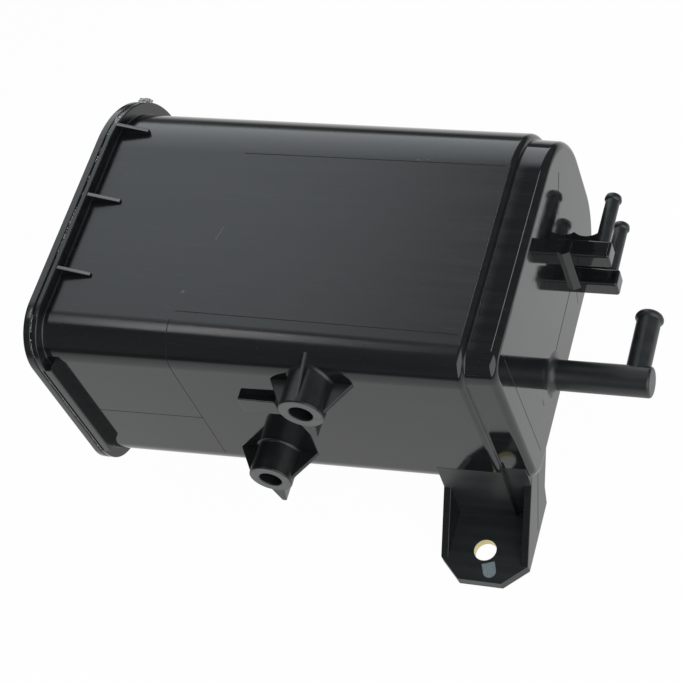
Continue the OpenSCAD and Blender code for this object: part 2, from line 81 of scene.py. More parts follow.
# Directions out of the upper face, the near side and the end face
UP: Point = (0, 0, 1)
NEAR: Point = (0, -1, 0)
OUT: Point = (1, 0, 0)


class Axis(Enum):
    """Direction that a turned shape stands along."""

    X = 0
    Y = 1
    Z = 2


@dataclass(frozen=True)
class CaseSizes:
    """Sizes of the case in millimetres, counted from the seam, the same as in the part's source."""

    length: float = 250.0
    half_wide: float = 88.25
    half_high: float = 62.0
    near_round: float = 20.0
    far_round: float = 48.0
    draft: float = math.tan(math.radians(0.95))
    wall: float = 2.8
    end_wall: float = 3.2
    neck_length: float = 16.0
    neck_step: float = 3.2
    neck_edge: float = 4.0
    rim_over: float = 6.0
    rim_over_far: float = 9.0
    rim_thick: float = 3.4
    land_thick: float = 7.0

    @property
    def shoulder(self) -> float:
        """Place of the shoulder along X."""
        return self.length - self.neck_length

    def inset(self, x: float) -> float:
        """How far the drafted wall has come in at a place along X."""
        return self.draft * x

    def side(self, x: float, z: float) -> float:
        """Place of the near side along Y.

        Args:
            x: place along X.
            z: height.

        Returns:
            The Y of the near side's outer surface.
        """
        radius = self.near_round - self.inset(x)
        straight = self.half_high - self.near_round
        past = min(max(abs(z) - straight, 0.0), radius)
        return -(self.half_wide - self.near_round + math.sqrt(radius * radius - past * past))

    def top(self, x: float) -> float:
        """Height of the upper face at a place along X."""
        return self.half_high - self.inset(x)


CASE = CaseSizes()


def linear(colour: str) -> tuple[float, float, float, float]:
    """Turns an sRGB hex colour to linear values.

    Args:
        colour: text such as "#1a2b3c".

    Returns:
        Red, green, blue and an alpha of one.
    """
    parts = [int(colour[i:i + 2], 16) / 255 for i in (1, 3, 5)]
    values = [c / 12.92 if c <= 0.04045 else ((c + 0.055) / 1.055) ** 2.4 for c in parts]
    return values[0], values[1], values[2], 1.0


def metres(point: Point) -> Point:
    """Point of the frame in metres, from millimetres counted from the seam."""
    return (point[0] + SEAM) * MM, point[1] * MM, point[2] * MM


def full_turn(steps: int) -> list[float]:
    """Angles of equal steps round one turn."""
    return [2 * math.pi * i / steps for i in range(steps)]


def add_object(name: str, data: bpy.types.ID) -> bpy.types.Object:
    """Puts an object with this data in the scene and returns it."""
    made = bpy.data.objects.new(name, data)
    bpy.context.scene.collection.objects.link(made)
    return made


def empty_tree(owner: bpy.types.Material | bpy.types.World) -> Tree:
    """Returns the node tree of a material or world with nothing in it."""
    owner.use_nodes = True
    owner.node_tree.nodes.clear()
    return owner.node_tree


def add_node(tree: Tree, kind: str, settings: dict[str, Any] | None = None,
             inputs: dict[Any, Any] | None = None) -> bpy.types.Node:
    """Adds a node with its settings and links.

    Args:
        tree: tree that the node goes in.
        kind: the node's type name.
        settings: attributes to set on the node.
        inputs: values or output sockets for the node's inputs, by name or number.

    Returns:
        The new node.
    """
    node = tree.nodes.new(kind)
    for name, value in (settings or {}).items():
        setattr(node, name, value)
    for key, value in (inputs or {}).items():
        socket = node.inputs[key]
        if isinstance(value, Socket):
            tree.links.new(value, socket)
        else:
            socket.default_value = value
    return node


def maths(tree: Tree, operation: str, *values: Any) -> Socket:
    """Result of one sum on sockets or numbers.

    Args:
        tree: tree that the node goes in.
        operation: name of the sum, such as "MULTIPLY".
        values: its terms in order.

    Returns:
        The socket with the result.
    """
    return add_node(tree, "ShaderNodeMath", {"operation": operation}, dict(enumerate(values))).outputs[0]


def ramp(tree: Tree, value: Socket, source: Flat = (0.0, 1.0), target: Flat = (0.0, 1.0),
         smooth: bool = False) -> Socket:
    """Value carried from one range to another and held at the ends.

    Args:
        tree: tree that the node goes in.
        value: socket with the value.
        source: range that it comes from.
        target: range that it goes to.
        smooth: whether it eases in and out.

    Returns:
        The socket with the result.
    """
    settings = {"interpolation_type": "SMOOTHSTEP" if smooth else "LINEAR"}
    return add_node(tree, "ShaderNodeMapRange", settings, {
        "Value": value, "From Min": source[0], "From Max": source[1],
        "To Min": target[0], "To Max": target[1]}).outputs["Result"]


def per_mm(*sizes: float) -> Point:
    """Texture scale that makes one unit of a pattern as long as these millimetres.

    Args:
        sizes: one size for all axes, or three.

    Returns:
        The scale along X, Y and Z.
    """
    values = [1 / (s * MM) for s in (sizes if len(sizes) == 3 else sizes * 3)]
    return values[0], values[1], values[2]


class Finish:
    """A finish that can make its own material."""

    name: str

    def fill(self, tree: Tree, shader: bpy.types.Node) -> None:
        """Sets the shader of this finish."""
        raise NotImplementedError

    def material(self) -> bpy.types.Material:
        """Returns the material, made on first use."""
        made = bpy.data.materials.get(self.name)
        if made:
            return made
        made = bpy.data.materials.new(self.name)
        tree = empty_tree(made)
        shader = add_node(tree, "ShaderNodeBsdfPrincipled")
        add_node(tree, "ShaderNodeOutputMaterial", inputs={"Surface": shader.outputs["BSDF"]})
        self.fill(tree, shader)
        return made


def pattern(tree: Tree, sizes: Sequence[float], detail: float = 2.0, turn: float = 0.0,
            cut: Flat = (0.0, 1.0)) -> Socket:
    """Noise on Object coordinates, stretched to real sizes and cut to a range.

    Args:
        tree: material tree.
        sizes: grain size in millimetres along X, Y and Z, or one for all.
        detail: octaves of the noise.
        turn: turn of the pattern about Z in radians.
        cut: noise values that become zero and one.

    Returns:
        The socket with values from zero to one.
    """
    place = add_node(tree, "ShaderNodeTexCoord")
    spread = add_node(tree, "ShaderNodeMapping", inputs={
        "Vector": place.outputs["Object"], "Rotation": (0, 0, turn), "Scale": per_mm(*sizes)})
    noise = add_node(tree, "ShaderNodeTexNoise", inputs={
        "Vector": spread.outputs["Vector"], "Scale": 1.0, "Detail": detail})
    return ramp(tree, noise.outputs["Fac"], cut)


def blend(tree: Tree, share: Any, first: Any, second: Any) -> Socket:
    """Colour mixed from two by a share.

    Args:
        tree: material tree.
        share: socket or number from zero to one.
        first: colour or socket at zero.
        second: colour or socket at one.

    Returns:
        The mixed colour's socket.
    """
    mix = add_node(tree, "ShaderNodeMix", {"data_type": "RGBA"}, {0: share, 6: first, 7: second})
    return mix.outputs[2]


def tie(tree: Tree, shader: bpy.types.Node, colour: Socket, rough: Socket, bump: bpy.types.Node) -> None:
    """Links a shader to its colour, roughness and bump.

    Args:
        tree: material tree.
        shader: the shader.
        colour: socket with the colour.
        rough: socket with the roughness.
        bump: bump node.
    """
    for name, socket in (("Base Color", colour), ("Roughness", rough), ("Normal", bump.outputs["Normal"])):
        tree.links.new(socket, shader.inputs[name])


@dataclass(frozen=True)
class MouldedNylon(Finish):
    """Carbon-black nylon 66 from a polished steel mould.

    The eye sees a deep black that mirrors its surroundings softly, long faint flow streaks
    along the draw of the mould, hair scratches from handling and a slight orange peel.
    """

    name: str
    colour: str = "#141617"
    streak: str = "#1b1e1f"
    scratch: str = "#4a4f50"
    roughness: float = 0.055
    rough_more: float = 0.05
    streak_long: float = 130.0
    streak_wide: float = 5.0
    streak_cut: Flat = (0.35, 0.7)
    scratch_long: float = 45.0
    # Real hair scratches are finer: drawn at 0.5 mm so that they show in the render
    scratch_wide: float = 0.5
    scratch_cut: Flat = (0.72, 0.8)
    scratch_turns: Flat = (0.04, -0.09)
    dust: float = 0.9
    dust_cut: Flat = (0.80, 0.86)
    mark_share: float = 0.35
    peel: float = 1.6
    peel_share: float = 0.35
    peel_depth: float = 0.004
    ior: float = 1.53
    # The body's upper face is rougher by this, above a height, up to the shoulder and past the near corner
    upper_more: float = 0.0
    upper_from: float = 50.0
    upper_end: float = 236.0
    upper_near: float = -80.0
    # Width of the soft edge of that face along X, Y and Z
    upper_soft: Point = (4.0, 5.0, 8.0)

    def upper(self, tree: Tree) -> tuple[Socket, Socket]:
        """Roughness that the upper face adds by height, and the share of it along and across the body."""
        place = add_node(tree, "ShaderNodeTexCoord")
        parts = add_node(tree, "ShaderNodeSeparateXYZ", inputs={0: place.outputs["Object"]}).outputs
        end = self.upper_end + SEAM
        starts = {"X": end, "Y": self.upper_near, "Z": self.upper_from}
        edges = {k: (at * MM, (at + soft) * MM) for (k, at), soft in zip(starts.items(), self.upper_soft)}
        more = ramp(tree, parts["Z"], edges["Z"], (0.0, self.upper_more))
        body = ramp(tree, parts["X"], edges["X"], (1.0, 0.0))
        return more, maths(tree, "MULTIPLY", body, ramp(tree, parts["Y"], edges["Y"]))

    def fill(self, tree: Tree, shader: bpy.types.Node) -> None:
        """Sets the shader of this finish."""
        flow = pattern(tree, (self.streak_long, self.streak_wide, self.streak_wide), detail=3.0,
                       cut=self.streak_cut)
        sizes = (self.scratch_long, self.scratch_wide, self.scratch_wide)
        hairs = [pattern(tree, sizes, detail=1.0, turn=turn, cut=self.scratch_cut)
                 for turn in self.scratch_turns]
        specks = pattern(tree, (self.dust,), detail=0.0, cut=self.dust_cut)
        marks = maths(tree, "MAXIMUM", maths(tree, "MAXIMUM", *hairs), specks)
        ground = blend(tree, flow, linear(self.colour), linear(self.streak))
        colour = blend(tree, maths(tree, "MULTIPLY", marks, self.mark_share), ground, linear(self.scratch))
        base = ramp(tree, flow, target=(self.roughness, self.roughness + self.rough_more))
        rough = maths(tree, "MULTIPLY_ADD", *self.upper(tree), base)
        bump = add_node(tree, "ShaderNodeBump", inputs={
            "Height": pattern(tree, (self.peel,)), "Strength": self.peel_share,
            "Distance": self.peel_depth * MM})
        tie(tree, shader, colour, rough, bump)
        shader.inputs["IOR"].default_value = self.ior


@dataclass(frozen=True)
class GrainyFinish(Finish):
    """A matt or metallic ground with grains of a second colour.

    It serves weld flash, foam, charcoal, spring steel, passivated steel and rubbed marks: the
    eye sees a fine mottled surface whose grain has the size of the real one.
    """

    name: str
    colour: str
    grain: str
    grain_mm: tuple[float, ...] = (1.0,)
    roughness: float = 0.6
    metallic: float = 0.0
    depth: float = 0.02
    cut: Flat = (0.35, 0.65)
    rough_more: float = 0.15
    bump_share: float = 0.5

    def fill(self, tree: Tree, shader: bpy.types.Node) -> None:
        """Sets the shader of this finish."""
        share = pattern(tree, self.grain_mm, detail=3.0, cut=self.cut)
        colour = blend(tree, share, linear(self.colour), linear(self.grain))
        rough = ramp(tree, share, target=(self.roughness, min(1.0, self.roughness + self.rough_more)))
        bump = add_node(tree, "ShaderNodeBump", inputs={
            "Height": share, "Strength": self.bump_share, "Distance": self.depth * MM})
        tie(tree, shader, colour, rough, bump)
        shader.inputs["Metallic"].default_value = self.metallic


CASE_NYLON = MouldedNylon("nylon_66_moulded_black", upper_more=0.14)
EDGE_NYLON = MouldedNylon("nylon_66_moulded_edge", roughness=0.1)
FACE_NYLON = MouldedNylon("nylon_66_cut_face", "#4a4d4c", "#5b5e5d", roughness=0.3)
BOSS_NYLON = MouldedNylon("nylon_66_moulded_matt", roughness=0.3)
PORT_NYLON = MouldedNylon("nylon_66_moulded_satin", "#212526", "#2a2e2f", roughness=0.34, rough_more=0.08)
# Dark matt finish of the mould lines, also laid on the end face as painted shade in the cracks and the pit
LINE_AND_CRACK_SHADE_NYLON = GrainyFinish("nylon_66_parting_line_and_crack_shade", "#060707", "#0c0d0d", (1.5,), 0.55, depth=0.01)
COVER_NYLON = MouldedNylon("nylon_66_cover_black", colour="#181a1a", streak="#212425", roughness=0.16)
FLASH_NYLON = GrainyFinish("nylon_66_weld_flash", "#5f6261", "#f0f1ed", (0.9,), 0.45, depth=0.05)
BUSH_STEEL = GrainyFinish("steel_yellow_passivated", "#c9bb7c", "#e2d9a8", (3.0, 3.0, 0.8), 0.28, 1.0, 0.005)
SCUFF = GrainyFinish("nylon_66_scuffed", "#5d6364", "#7d8384", (0.8,), 0.55, depth=0.01)
PAINT = GrainyFinish("paint_dab_grey_blue", "#77858c", "#95a3a9", (0.7,), 0.5, depth=0.02)
CHARCOAL = GrainyFinish("charcoal_granules", "#0b0b0c", "#2a2a2b", (2.0,), 0.85, depth=0.6)
FOAM = GrainyFinish("polyurethane_foam", "#6d6b63", "#97958b", (0.7,), 0.9, depth=0.3)
PLATE_NYLON = GrainyFinish("nylon_66_glass_filled", "#2c2e2f", "#3a3c3d", (6.0, 0.8, 0.8), 0.45, depth=0.01)
SPRING_STEEL = GrainyFinish("spring_steel_wire", "#8b8c8c", "#a6a7a6", (0.5,), 0.3, 1.0, 0.005)


class Form:
    """A piece under construction, in millimetres counted from the seam."""

    def __init__(self) -> None:
        """Starts an empty mesh."""
        self.mesh = bmesh.new()

    def ring(self, points: Sequence[Point]) -> list[bmesh.types.BMVert]:
        """Adds the points of one ring and returns its vertices."""
        return [self.mesh.verts.new(metres(p)) for p in points]

    def band(self, first: list[bmesh.types.BMVert], second: list[bmesh.types.BMVert]) -> None:
        """Joins two rings with faces; a ring of one point makes a pole.

        Args:
            first: one ring.
            second: the next ring.
        """
        count = max(len(first), len(second))
        for i in range(count):
            j = (i + 1) % count
            corners = [first[i % len(first)], first[j % len(first)],
                       second[j % len(second)], second[i % len(second)]]
            self.mesh.faces.new(list(dict.fromkeys(corners)))

    def loft(self, rings: Sequence[Sequence[Point]], closed: bool = False) -> "Form":
        """Joins rings in order into one closed skin.

        Args:
            rings: rings of equal length, or of one point at a pole.
            closed: True joins the last ring to the first, False puts a cap on both ends.

        Returns:
            This form.
        """
        made = [self.ring(r) for r in rings]
        for first, second in zip(made, made[1:] + (made[:1] if closed else [])):
            self.band(first, second)
        if not closed:
            for end in (made[0], made[-1]):
                if len(end) > 2:
                    self.mesh.faces.new(end)
        return self

    def prism(self, outline: Sequence[Point], push: Point) -> "Form":
        """Pushes a flat outline along a vector.

        Args:
            outline: corners of the outline.
            push: length and direction of the push.

        Returns:
            This form.
        """
        moved = [(x + push[0], y + push[1], z + push[2]) for x, y, z in outline]
        return self.loft([outline, moved])

    def turned(self, profile: Sequence[Flat], centre: Point, axis: Axis, steps: int = 64,
               closed: bool = False) -> "Form":
        """Turns a profile about an axis.

        Args:
            profile: radius and height of each point.
            centre: point on the axis at height zero.
            axis: direction of the axis.
            steps: points round the axis.
            closed: True where the profile is a loop clear of the axis.

        Returns:
            This form.
        """
        order = {Axis.X: (2, 0, 1), Axis.Y: (1, 2, 0), Axis.Z: (0, 1, 2)}[axis]
        rings = []
        for radius, height in profile:
            turns = full_turn(steps)[:steps if radius > TINY else 1]
            local = [(radius * math.cos(t), radius * math.sin(t), height) for t in turns]
            rings.append([tuple(centre[k] + p[order[k]] for k in range(3)) for p in local])
        return self.loft(rings, closed)

    def piece(self, name: str, finish: Finish, bevel: float = 0.0, segments: int = 3) -> bpy.types.Object:
        """Turns the form into a finished piece that rides on the case.

        Args:
            name: name of the piece.
            finish: its finish.
            bevel: width of the rounding on sharp edges.
            segments: faces across a rounding.

        Returns:
            The object.
        """
        bmesh.ops.recalc_face_normals(self.mesh, faces=self.mesh.faces)
        data = bpy.data.meshes.new(name)
        self.mesh.to_mesh(data)
        self.mesh.free()
        made = add_object(name, data)
        if bevel:
            round_edges = made.modifiers.new("round_edges", "BEVEL")
            round_edges.width = bevel * MM
            round_edges.segments = segments
            round_edges.limit_method = "ANGLE"
            round_edges.angle_limit = BEVEL_FROM
            freeze(made)
        made.data.polygons.foreach_set("use_smooth", [True] * len(made.data.polygons))
        made.data.set_sharp_from_angle(angle=SHARP_FROM)
        even = made.modifiers.new("even_normals", "WEIGHTED_NORMAL")
        even.keep_sharp = True
        freeze(made)
        made.data.materials.clear()
        made.data.materials.append(finish.material())
        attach(made, "root")
        LOG.info("%s: %d faces", name, len(made.data.polygons))
        return made


def freeze(made: bpy.types.Object) -> None:
    """Turns an object's modifiers into its plain mesh."""
    depsgraph = bpy.context.evaluated_depsgraph_get()
    data = bpy.data.meshes.new_from_object(made.evaluated_get(depsgraph), depsgraph=depsgraph)
    made.modifiers.clear()
    made.data = data


def arc(centre: Flat, radius: float, start: float, stop: float, steps: int = 8) -> list[Flat]:
    """Points along an arc, start and stop in degrees from the first axis.

    Args:
        centre: middle of the arc.
        radius: its radius.
        start: first angle.
        stop: last angle.
        steps: number of steps.

    Returns:
        The points.
    """
    turns = [math.radians(start + (stop - start) * i / steps) for i in range(steps + 1)]
    return [(centre[0] + radius * math.cos(t), centre[1] + radius * math.sin(t)) for t in turns]


def section(x: float, over: float, steps: int = 28) -> list[Point]:
    """Ring round the case at one place, with two close near corners and two wide far corners.

    Args:
        x: place along X.
        over: how far the ring stands outside the case's size at the seam.
        steps: steps in each corner.

    Returns:
        The ring's points.
    """
    far_over = over * CASE.rim_over_far / CASE.rim_over if over > 0 else over
    near_r, far_r = CASE.near_round + over, CASE.far_round + far_over
    high = CASE.half_high + over
    far_y, near_y = CASE.half_wide - CASE.far_round, CASE.near_round - CASE.half_wide
    corners = [(far_y, high - far_r, far_r, 0), (near_y, high - near_r, near_r, 90),
               (near_y, near_r - high, near_r, 180), (far_y, far_r - high, far_r, 270)]
    return [(x, y, z) for cy, cz, r, start in corners for y, z in arc((cy, cz), r, start, start + 90, steps)]


@dataclass
class CaseShell:
    """The moulded case: weld rim, drafted body, shoulder, neck and hollow inside."""

    lip: float = 0.9
    groove: float = 1.0
    groove_mid: Flat = (0.45, 0.2)
    rim_round: float = 0.7
    foot_round: float = 0.8
    bend_turn: float = 73.0
    root_round: float = 0.9
    root_lap: float = 0.1
    neck_fall: float = 0.35
    land_half: float = 42.0
    land_edge: float = 0.7

    def outside(self) -> list[Flat]:
        """Place along X and overhang of each ring from the seam to the end face."""
        case, over = CASE, CASE.rim_over
        rows = [(0.0, over - self.groove), (self.groove_mid[0], over - self.groove_mid[1]), (self.lip, over)]
        rim = (over - self.rim_round, case.rim_thick - self.rim_round)
        rows += [(x, o) for o, x in arc(rim, self.rim_round, 0, 90, steps=5)]
        foot = case.rim_thick + self.foot_round
        rows += [(x, o - case.inset(foot)) for x, o in
                 arc((foot, self.foot_round), self.foot_round, 180, 270, steps=6)]
        bend = case.shoulder - case.neck_step
        neck = -case.inset(bend) - case.neck_step
        rows += [(x, o) for o, x in arc((neck, bend), case.neck_step, 0, self.bend_turn, steps=10)]
        root = (case.shoulder + self.root_round - self.root_lap, neck + self.root_round)
        rows += arc(root, self.root_round, 180, 270, steps=4)
        last = (neck - self.neck_fall - case.neck_edge, case.length - case.neck_edge)
        rows += [(x, o) for o, x in arc(last, case.neck_edge, 0, 90, steps=12)]
        return rows

    def inside(self) -> list[Flat]:
        """Place along X and overhang of each ring from the end wall back to the seam."""
        case = CASE
        body = -case.inset(case.shoulder) - case.wall
        neck = body - case.neck_step
        return [(case.length - case.end_wall, neck), (case.shoulder + case.neck_step - case.wall, neck),
                (case.shoulder - case.neck_step - case.wall, body), (0.0, -case.wall)]

    def build(self) -> None:
        """Builds the shell and the thicker land of its rim."""
        rings = [section(x, o) for x, o in self.inside() + self.outside()]
        shell = Form().loft(rings).piece("case_shell", CASE_NYLON)
        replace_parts(shell, "case")
        rim = -(CASE.half_wide + CASE.rim_over)
        back = CASE.side(0.0, 0.0) + CASE.wall / 2
        half = self.land_half
        corners = [(self.lip, y, z) for y, z in ((rim, -half), (back, -half), (back, half), (rim, half))]
        land = Form().prism(corners, (CASE.land_thick - self.lip, 0, 0))
        land.piece("rim_land", CASE_NYLON, bevel=self.land_edge)


def start_tree(name: str, inputs: Sequence[tuple[str, str]]) -> tuple[Tree, dict[str, str]]:
    """Starts a geometry-node tree with its inputs and a geometry output.

    Args:
        name: name of the tree.
        inputs: name and kind of each input, the kind as in NodeSocketFloat.

    Returns:
        The tree, and its inputs' identifiers by name.
    """
    tree = bpy.data.node_groups.new(name, "GeometryNodeTree")
    face = tree.interface
    ids = {key: face.new_socket(name=key, in_out="INPUT", socket_type=f"NodeSocket{kind}").identifier
           for key, kind in inputs}
    face.new_socket(name="Geometry", in_out="OUTPUT", socket_type="NodeSocketGeometry")
    return tree, ids


def end_tree(tree: Tree, copies: Socket, finish: Socket) -> None:
    """Makes a tree's copies real, gives them their finish and puts them out.

    Args:
        tree: the node tree.
        copies: socket with the instances.
        finish: socket with the material.
    """
    real = add_node(tree, "GeometryNodeRealizeInstances", inputs={"Geometry": copies})
    done = add_node(tree, "GeometryNodeSetMaterial",
                    inputs={"Geometry": real.outputs["Geometry"], "Material": finish})
    add_node(tree, "NodeGroupOutput", inputs={"Geometry": done.outputs["Geometry"]})


def grow(name: str, tree: Tree, values: dict[str, Any], seed: bpy.types.Mesh) -> bpy.types.Object:
    """Runs a geometry-node tree and keeps its result as a plain piece.

    Args:
        name: name of the piece.
        tree: the node tree.
        values: inputs by socket identifier.
        seed: mesh that the tree starts from.

    Returns:
        The finished object.
    """
    made = add_object(name, seed)
    nodes = made.modifiers.new(name, "NODES")
    nodes.node_group = tree
    for key, value in values.items():
        nodes[key] = value
    freeze(made)
    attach(made, "root")
    LOG.info("%s: %d faces", name, len(made.data.polygons))
    return made


@dataclass
class RimGussets:
    """Gussets that stiffen the weld rim, three above and three below."""

    length: float = 18.0
    blunt: float = 1.2
    thick: float = 2.2
    pitch: float = 48.5
    middle: float = 3.0
    count: int = 3
    sink: float = 0.3

    def template(self) -> bpy.types.Object:
        """Returns one gusset with rounded edges, standing at Y zero on the upper face."""
        low = CASE.half_high - 2 * CASE.wall
        rim = CASE.half_high + CASE.rim_over - self.sink
        start, stop = CASE.rim_thick - self.sink, CASE.rim_thick + self.length
        flat = [(start, low), (start, rim), (stop, CASE.top(stop) + self.blunt), (stop, low)]
        form = Form().prism([(x, -self.thick / 2, z) for x, z in flat], (0, self.thick, 0))
        return form.piece("gusset_template", EDGE_NYLON, bevel=0.2, segments=2)

    def build(self) -> None:
        """Places the gussets with geometry nodes."""
        tree, ids = start_tree("rim_gussets", (
            ("Gusset", "Object"), ("Count", "Int"), ("Pitch", "Float"), ("Middle", "Float"),
            ("Finish", "Material")))
        given = add_node(tree, "NodeGroupInput").outputs
        one = add_node(tree, "GeometryNodeObjectInfo", {"transform_space": "ORIGINAL"},
                       {"Object": given["Gusset"], "As Instance": True})
        first = maths(tree, "SUBTRACT", given["Middle"], given["Pitch"])
        start = add_node(tree, "ShaderNodeCombineXYZ", inputs={"Y": first})
        step = add_node(tree, "ShaderNodeCombineXYZ", inputs={"Y": given["Pitch"]})
        row = add_node(tree, "GeometryNodeMeshLine", {"mode": "OFFSET"}, {
            "Count": given["Count"], "Start Location": start.outputs[0], "Offset": step.outputs[0]})
        joined = add_node(tree, "GeometryNodeJoinGeometry")
        for turn in (0.0, math.pi):
            placed = add_node(tree, "GeometryNodeInstanceOnPoints", inputs={
                "Points": row.outputs["Mesh"], "Instance": one.outputs["Geometry"], "Rotation": (turn, 0, 0)})
            tree.links.new(placed.outputs["Instances"], joined.inputs["Geometry"])
        end_tree(tree, joined.outputs["Geometry"], given["Finish"])
        template = self.template()
        values = {"Gusset": template, "Count": self.count, "Pitch": self.pitch * MM,
                  "Middle": self.middle * MM, "Finish": EDGE_NYLON.material()}
        grow("rim_gussets", tree, {ids[k]: v for k, v in values.items()}, bpy.data.meshes.new("rim_gussets"))
        bpy.data.objects.remove(template)


@dataclass(frozen=True)
class Stretch:
    """Part of a ring round the case: its place along X, overhang, range along Y and least height."""

    x: float
    over: float
    y: Flat
    above: float

    def path(self) -> list[Point]:
        """The ring's points in the range."""
        low, high = self.y
        return [p for p in section(self.x, self.over) if low < p[1] < high and p[2] > self.above]


@dataclass
class WeldFlash:
    """Grains of nylon pressed out of the weld seam, thin all round and thick in a few clumps."""

    over: float = 5.25
    count: int = 1500
    grain: float = 0.5
    jitter: float = 0.35
    sparse: float = 0.52
    patch: float = 9.0
    seed: int = 4
    smallest: float = 0.35
    turn: float = 6.28
    clump_grain: float = 0.85
    crest: Stretch = Stretch(0.4, 6.9, (80, 91), 38)
    band: Stretch = Stretch(1.2, 5.7, (51, 61), 60)
    upper_x: float = 0.1
    upper_y: Flat = (-42.0, -2.0)
    upper_sink: float = 0.1

    def tree(self) -> tuple[Tree, dict[str, str]]:
        """Returns the node tree that scatters grains along a path, and its inputs' identifiers."""
        tree, ids = start_tree("weld_flash", (
            ("Geometry", "Geometry"), ("Count", "Int"), ("Grain", "Float"), ("Jitter", "Vector"),
            ("Patch", "Float"), ("Sparse", "Float"), ("Seed", "Int"), ("Finish", "Material")))
        given = add_node(tree, "NodeGroupInput").outputs
        path = add_node(tree, "GeometryNodeMeshToCurve", inputs={"Mesh": given["Geometry"]})
        points = add_node(tree, "GeometryNodeCurveToPoints", {"mode": "COUNT"},
                          {"Curve": path.outputs["Curve"], "Count": given["Count"]})
        patches = add_node(tree, "ShaderNodeTexNoise", inputs={"Scale": given["Patch"], "Detail": 3.0})
        bare = add_node(tree, "FunctionNodeCompare", {"data_type": "FLOAT", "operation": "LESS_THAN"},
                        {0: patches.outputs["Fac"], 1: given["Sparse"]})
        kept = add_node(tree, "GeometryNodeDeleteGeometry", {"domain": "POINT"}, {
            "Geometry": points.outputs["Points"], "Selection": bare.outputs[0]})
        low = add_node(tree, "ShaderNodeVectorMath", {"operation": "SCALE"},
                       {0: given["Jitter"], "Scale": -1.0})
        shift, turn, size = (
            add_node(tree, "FunctionNodeRandomValue", {"data_type": "FLOAT_VECTOR"},
                     {0: least, 1: most, "Seed": given["Seed"]}).outputs[0]
            for least, most in ((low.outputs[0], given["Jitter"]), ((0, 0, 0), (self.turn,) * 3),
                                ((self.smallest,) * 3, (1.0, 1.0, 1.0))))
        moved = add_node(tree, "GeometryNodeSetPosition", inputs={
            "Geometry": kept.outputs["Geometry"], "Offset": shift})
        ball = add_node(tree, "GeometryNodeMeshIcoSphere",
                        inputs={"Radius": given["Grain"], "Subdivisions": 1})
        placed = add_node(tree, "GeometryNodeInstanceOnPoints", inputs={
            "Points": moved.outputs["Geometry"], "Instance": ball.outputs["Mesh"],
            "Rotation": turn, "Scale": size})
        end_tree(tree, placed.outputs["Instances"], given["Finish"])
        return tree, ids

    def scatter(self, name: str, path: Sequence[Point], count: int, grain: float, spread: Point,
                sparse: float, closed: bool = False) -> None:
        """Scatters grains along a path.

        Args:
            name: name of the piece.
            path: points of the path.
            count: number of grains before the bare patches are taken out.
            grain: radius of the largest grain.
            spread: largest shift of a grain along each axis.
            sparse: noise level below which the path stays bare.
            closed: whether the path is a loop.
        """
        tree, ids = self.tree()
        seed = bpy.data.meshes.new(name)
        links = [(i, i + 1) for i in range(len(path) - 1)] + ([(len(path) - 1, 0)] if closed else [])
        seed.from_pydata([metres(p) for p in path], links, [])
        values = {"Count": count, "Grain": grain * MM, "Patch": 1 / (self.patch * MM), "Sparse": sparse,
                  "Seed": self.seed, "Jitter": tuple(s * MM for s in spread),
                  "Finish": FLASH_NYLON.material()}
        grow(name, tree, {ids[k]: v for k, v in values.items()}, seed)

    def build(self) -> None:
        """Scatters the seam's grains, then the clumps on the far crest, the upper edge and the rim's band."""
        j, big = self.jitter, self.clump_grain
        self.scatter("weld_flash", section(0.0, self.over), self.count, self.grain, (j, j / 2, j / 2),
                     self.sparse, closed=True)
        self.scatter("flash_crest", self.crest.path(), count=90, grain=big, spread=(0.8, 0.7, 0.7),
                     sparse=0.0)
        level = CASE.half_high + self.over - self.upper_sink
        self.scatter("flash_upper", [(self.upper_x, y, level) for y in self.upper_y], count=46,
                     grain=big * 0.85, spread=(0.5, 0.3, 0.05), sparse=0.42)
        self.scatter("flash_band", self.band.path(), count=60, grain=big * 0.7, spread=(1.0, 0.3, 0.3),
                     sparse=0.35)


@dataclass
class Cover:
    """The welded end cover with its skirt and spring seats."""

    thick: float = 4.7
    edge: float = 1.0
    groove: float = 0.9
    groove_mid: Flat = (-0.4, 0.2)
    groove_from: float = -0.8
    lap: float = 0.4
    skirt_high: float = 6.0
    skirt_thick: float = 2.2
    skirt_gap: float = 0.4
    seat_high: float = 4.0
    seat_round: float = 11.0
    seat_wall: float = 2.5
    # Y and Z of the springs: two on the main bed, one on the vent bed
    seats: tuple[Flat, ...] = ((39.78, 26.0), (39.78, -26.0), (-46.48, 0.0))
    steps: int = 48

    def build(self) -> None:
        """Builds the cover plate with its locating skirt and seats."""
        over = CASE.rim_over
        edge = (over - self.edge, self.edge - self.thick)
        rows = [(x, o) for o, x in arc(edge, self.edge, -90, 0, steps=6)]
        rows += [(self.groove_from, over), (self.groove_mid[0], over - self.groove_mid[1]),
                 (0.0, over - self.groove)]
        form = Form().loft([section(x, o) for x, o in rows])
        out = -(CASE.wall + self.skirt_gap)
        wall = out - self.skirt_thick
        skirt = ((-self.lap, out), (self.skirt_high, out), (self.skirt_high, wall), (-self.lap, wall))
        form.loft([section(x, o) for x, o in skirt], True)
        outer, inner, high = self.seat_round, self.seat_round - self.seat_wall, self.seat_high - self.lap
        for y, z in self.seats:
            form.turned([(outer, -self.lap), (outer, high), (inner, high), (inner, -self.lap)],
                        (0, y, z), Axis.X, self.steps, True)
        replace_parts(form.piece("cover_plate", COVER_NYLON), "cover")


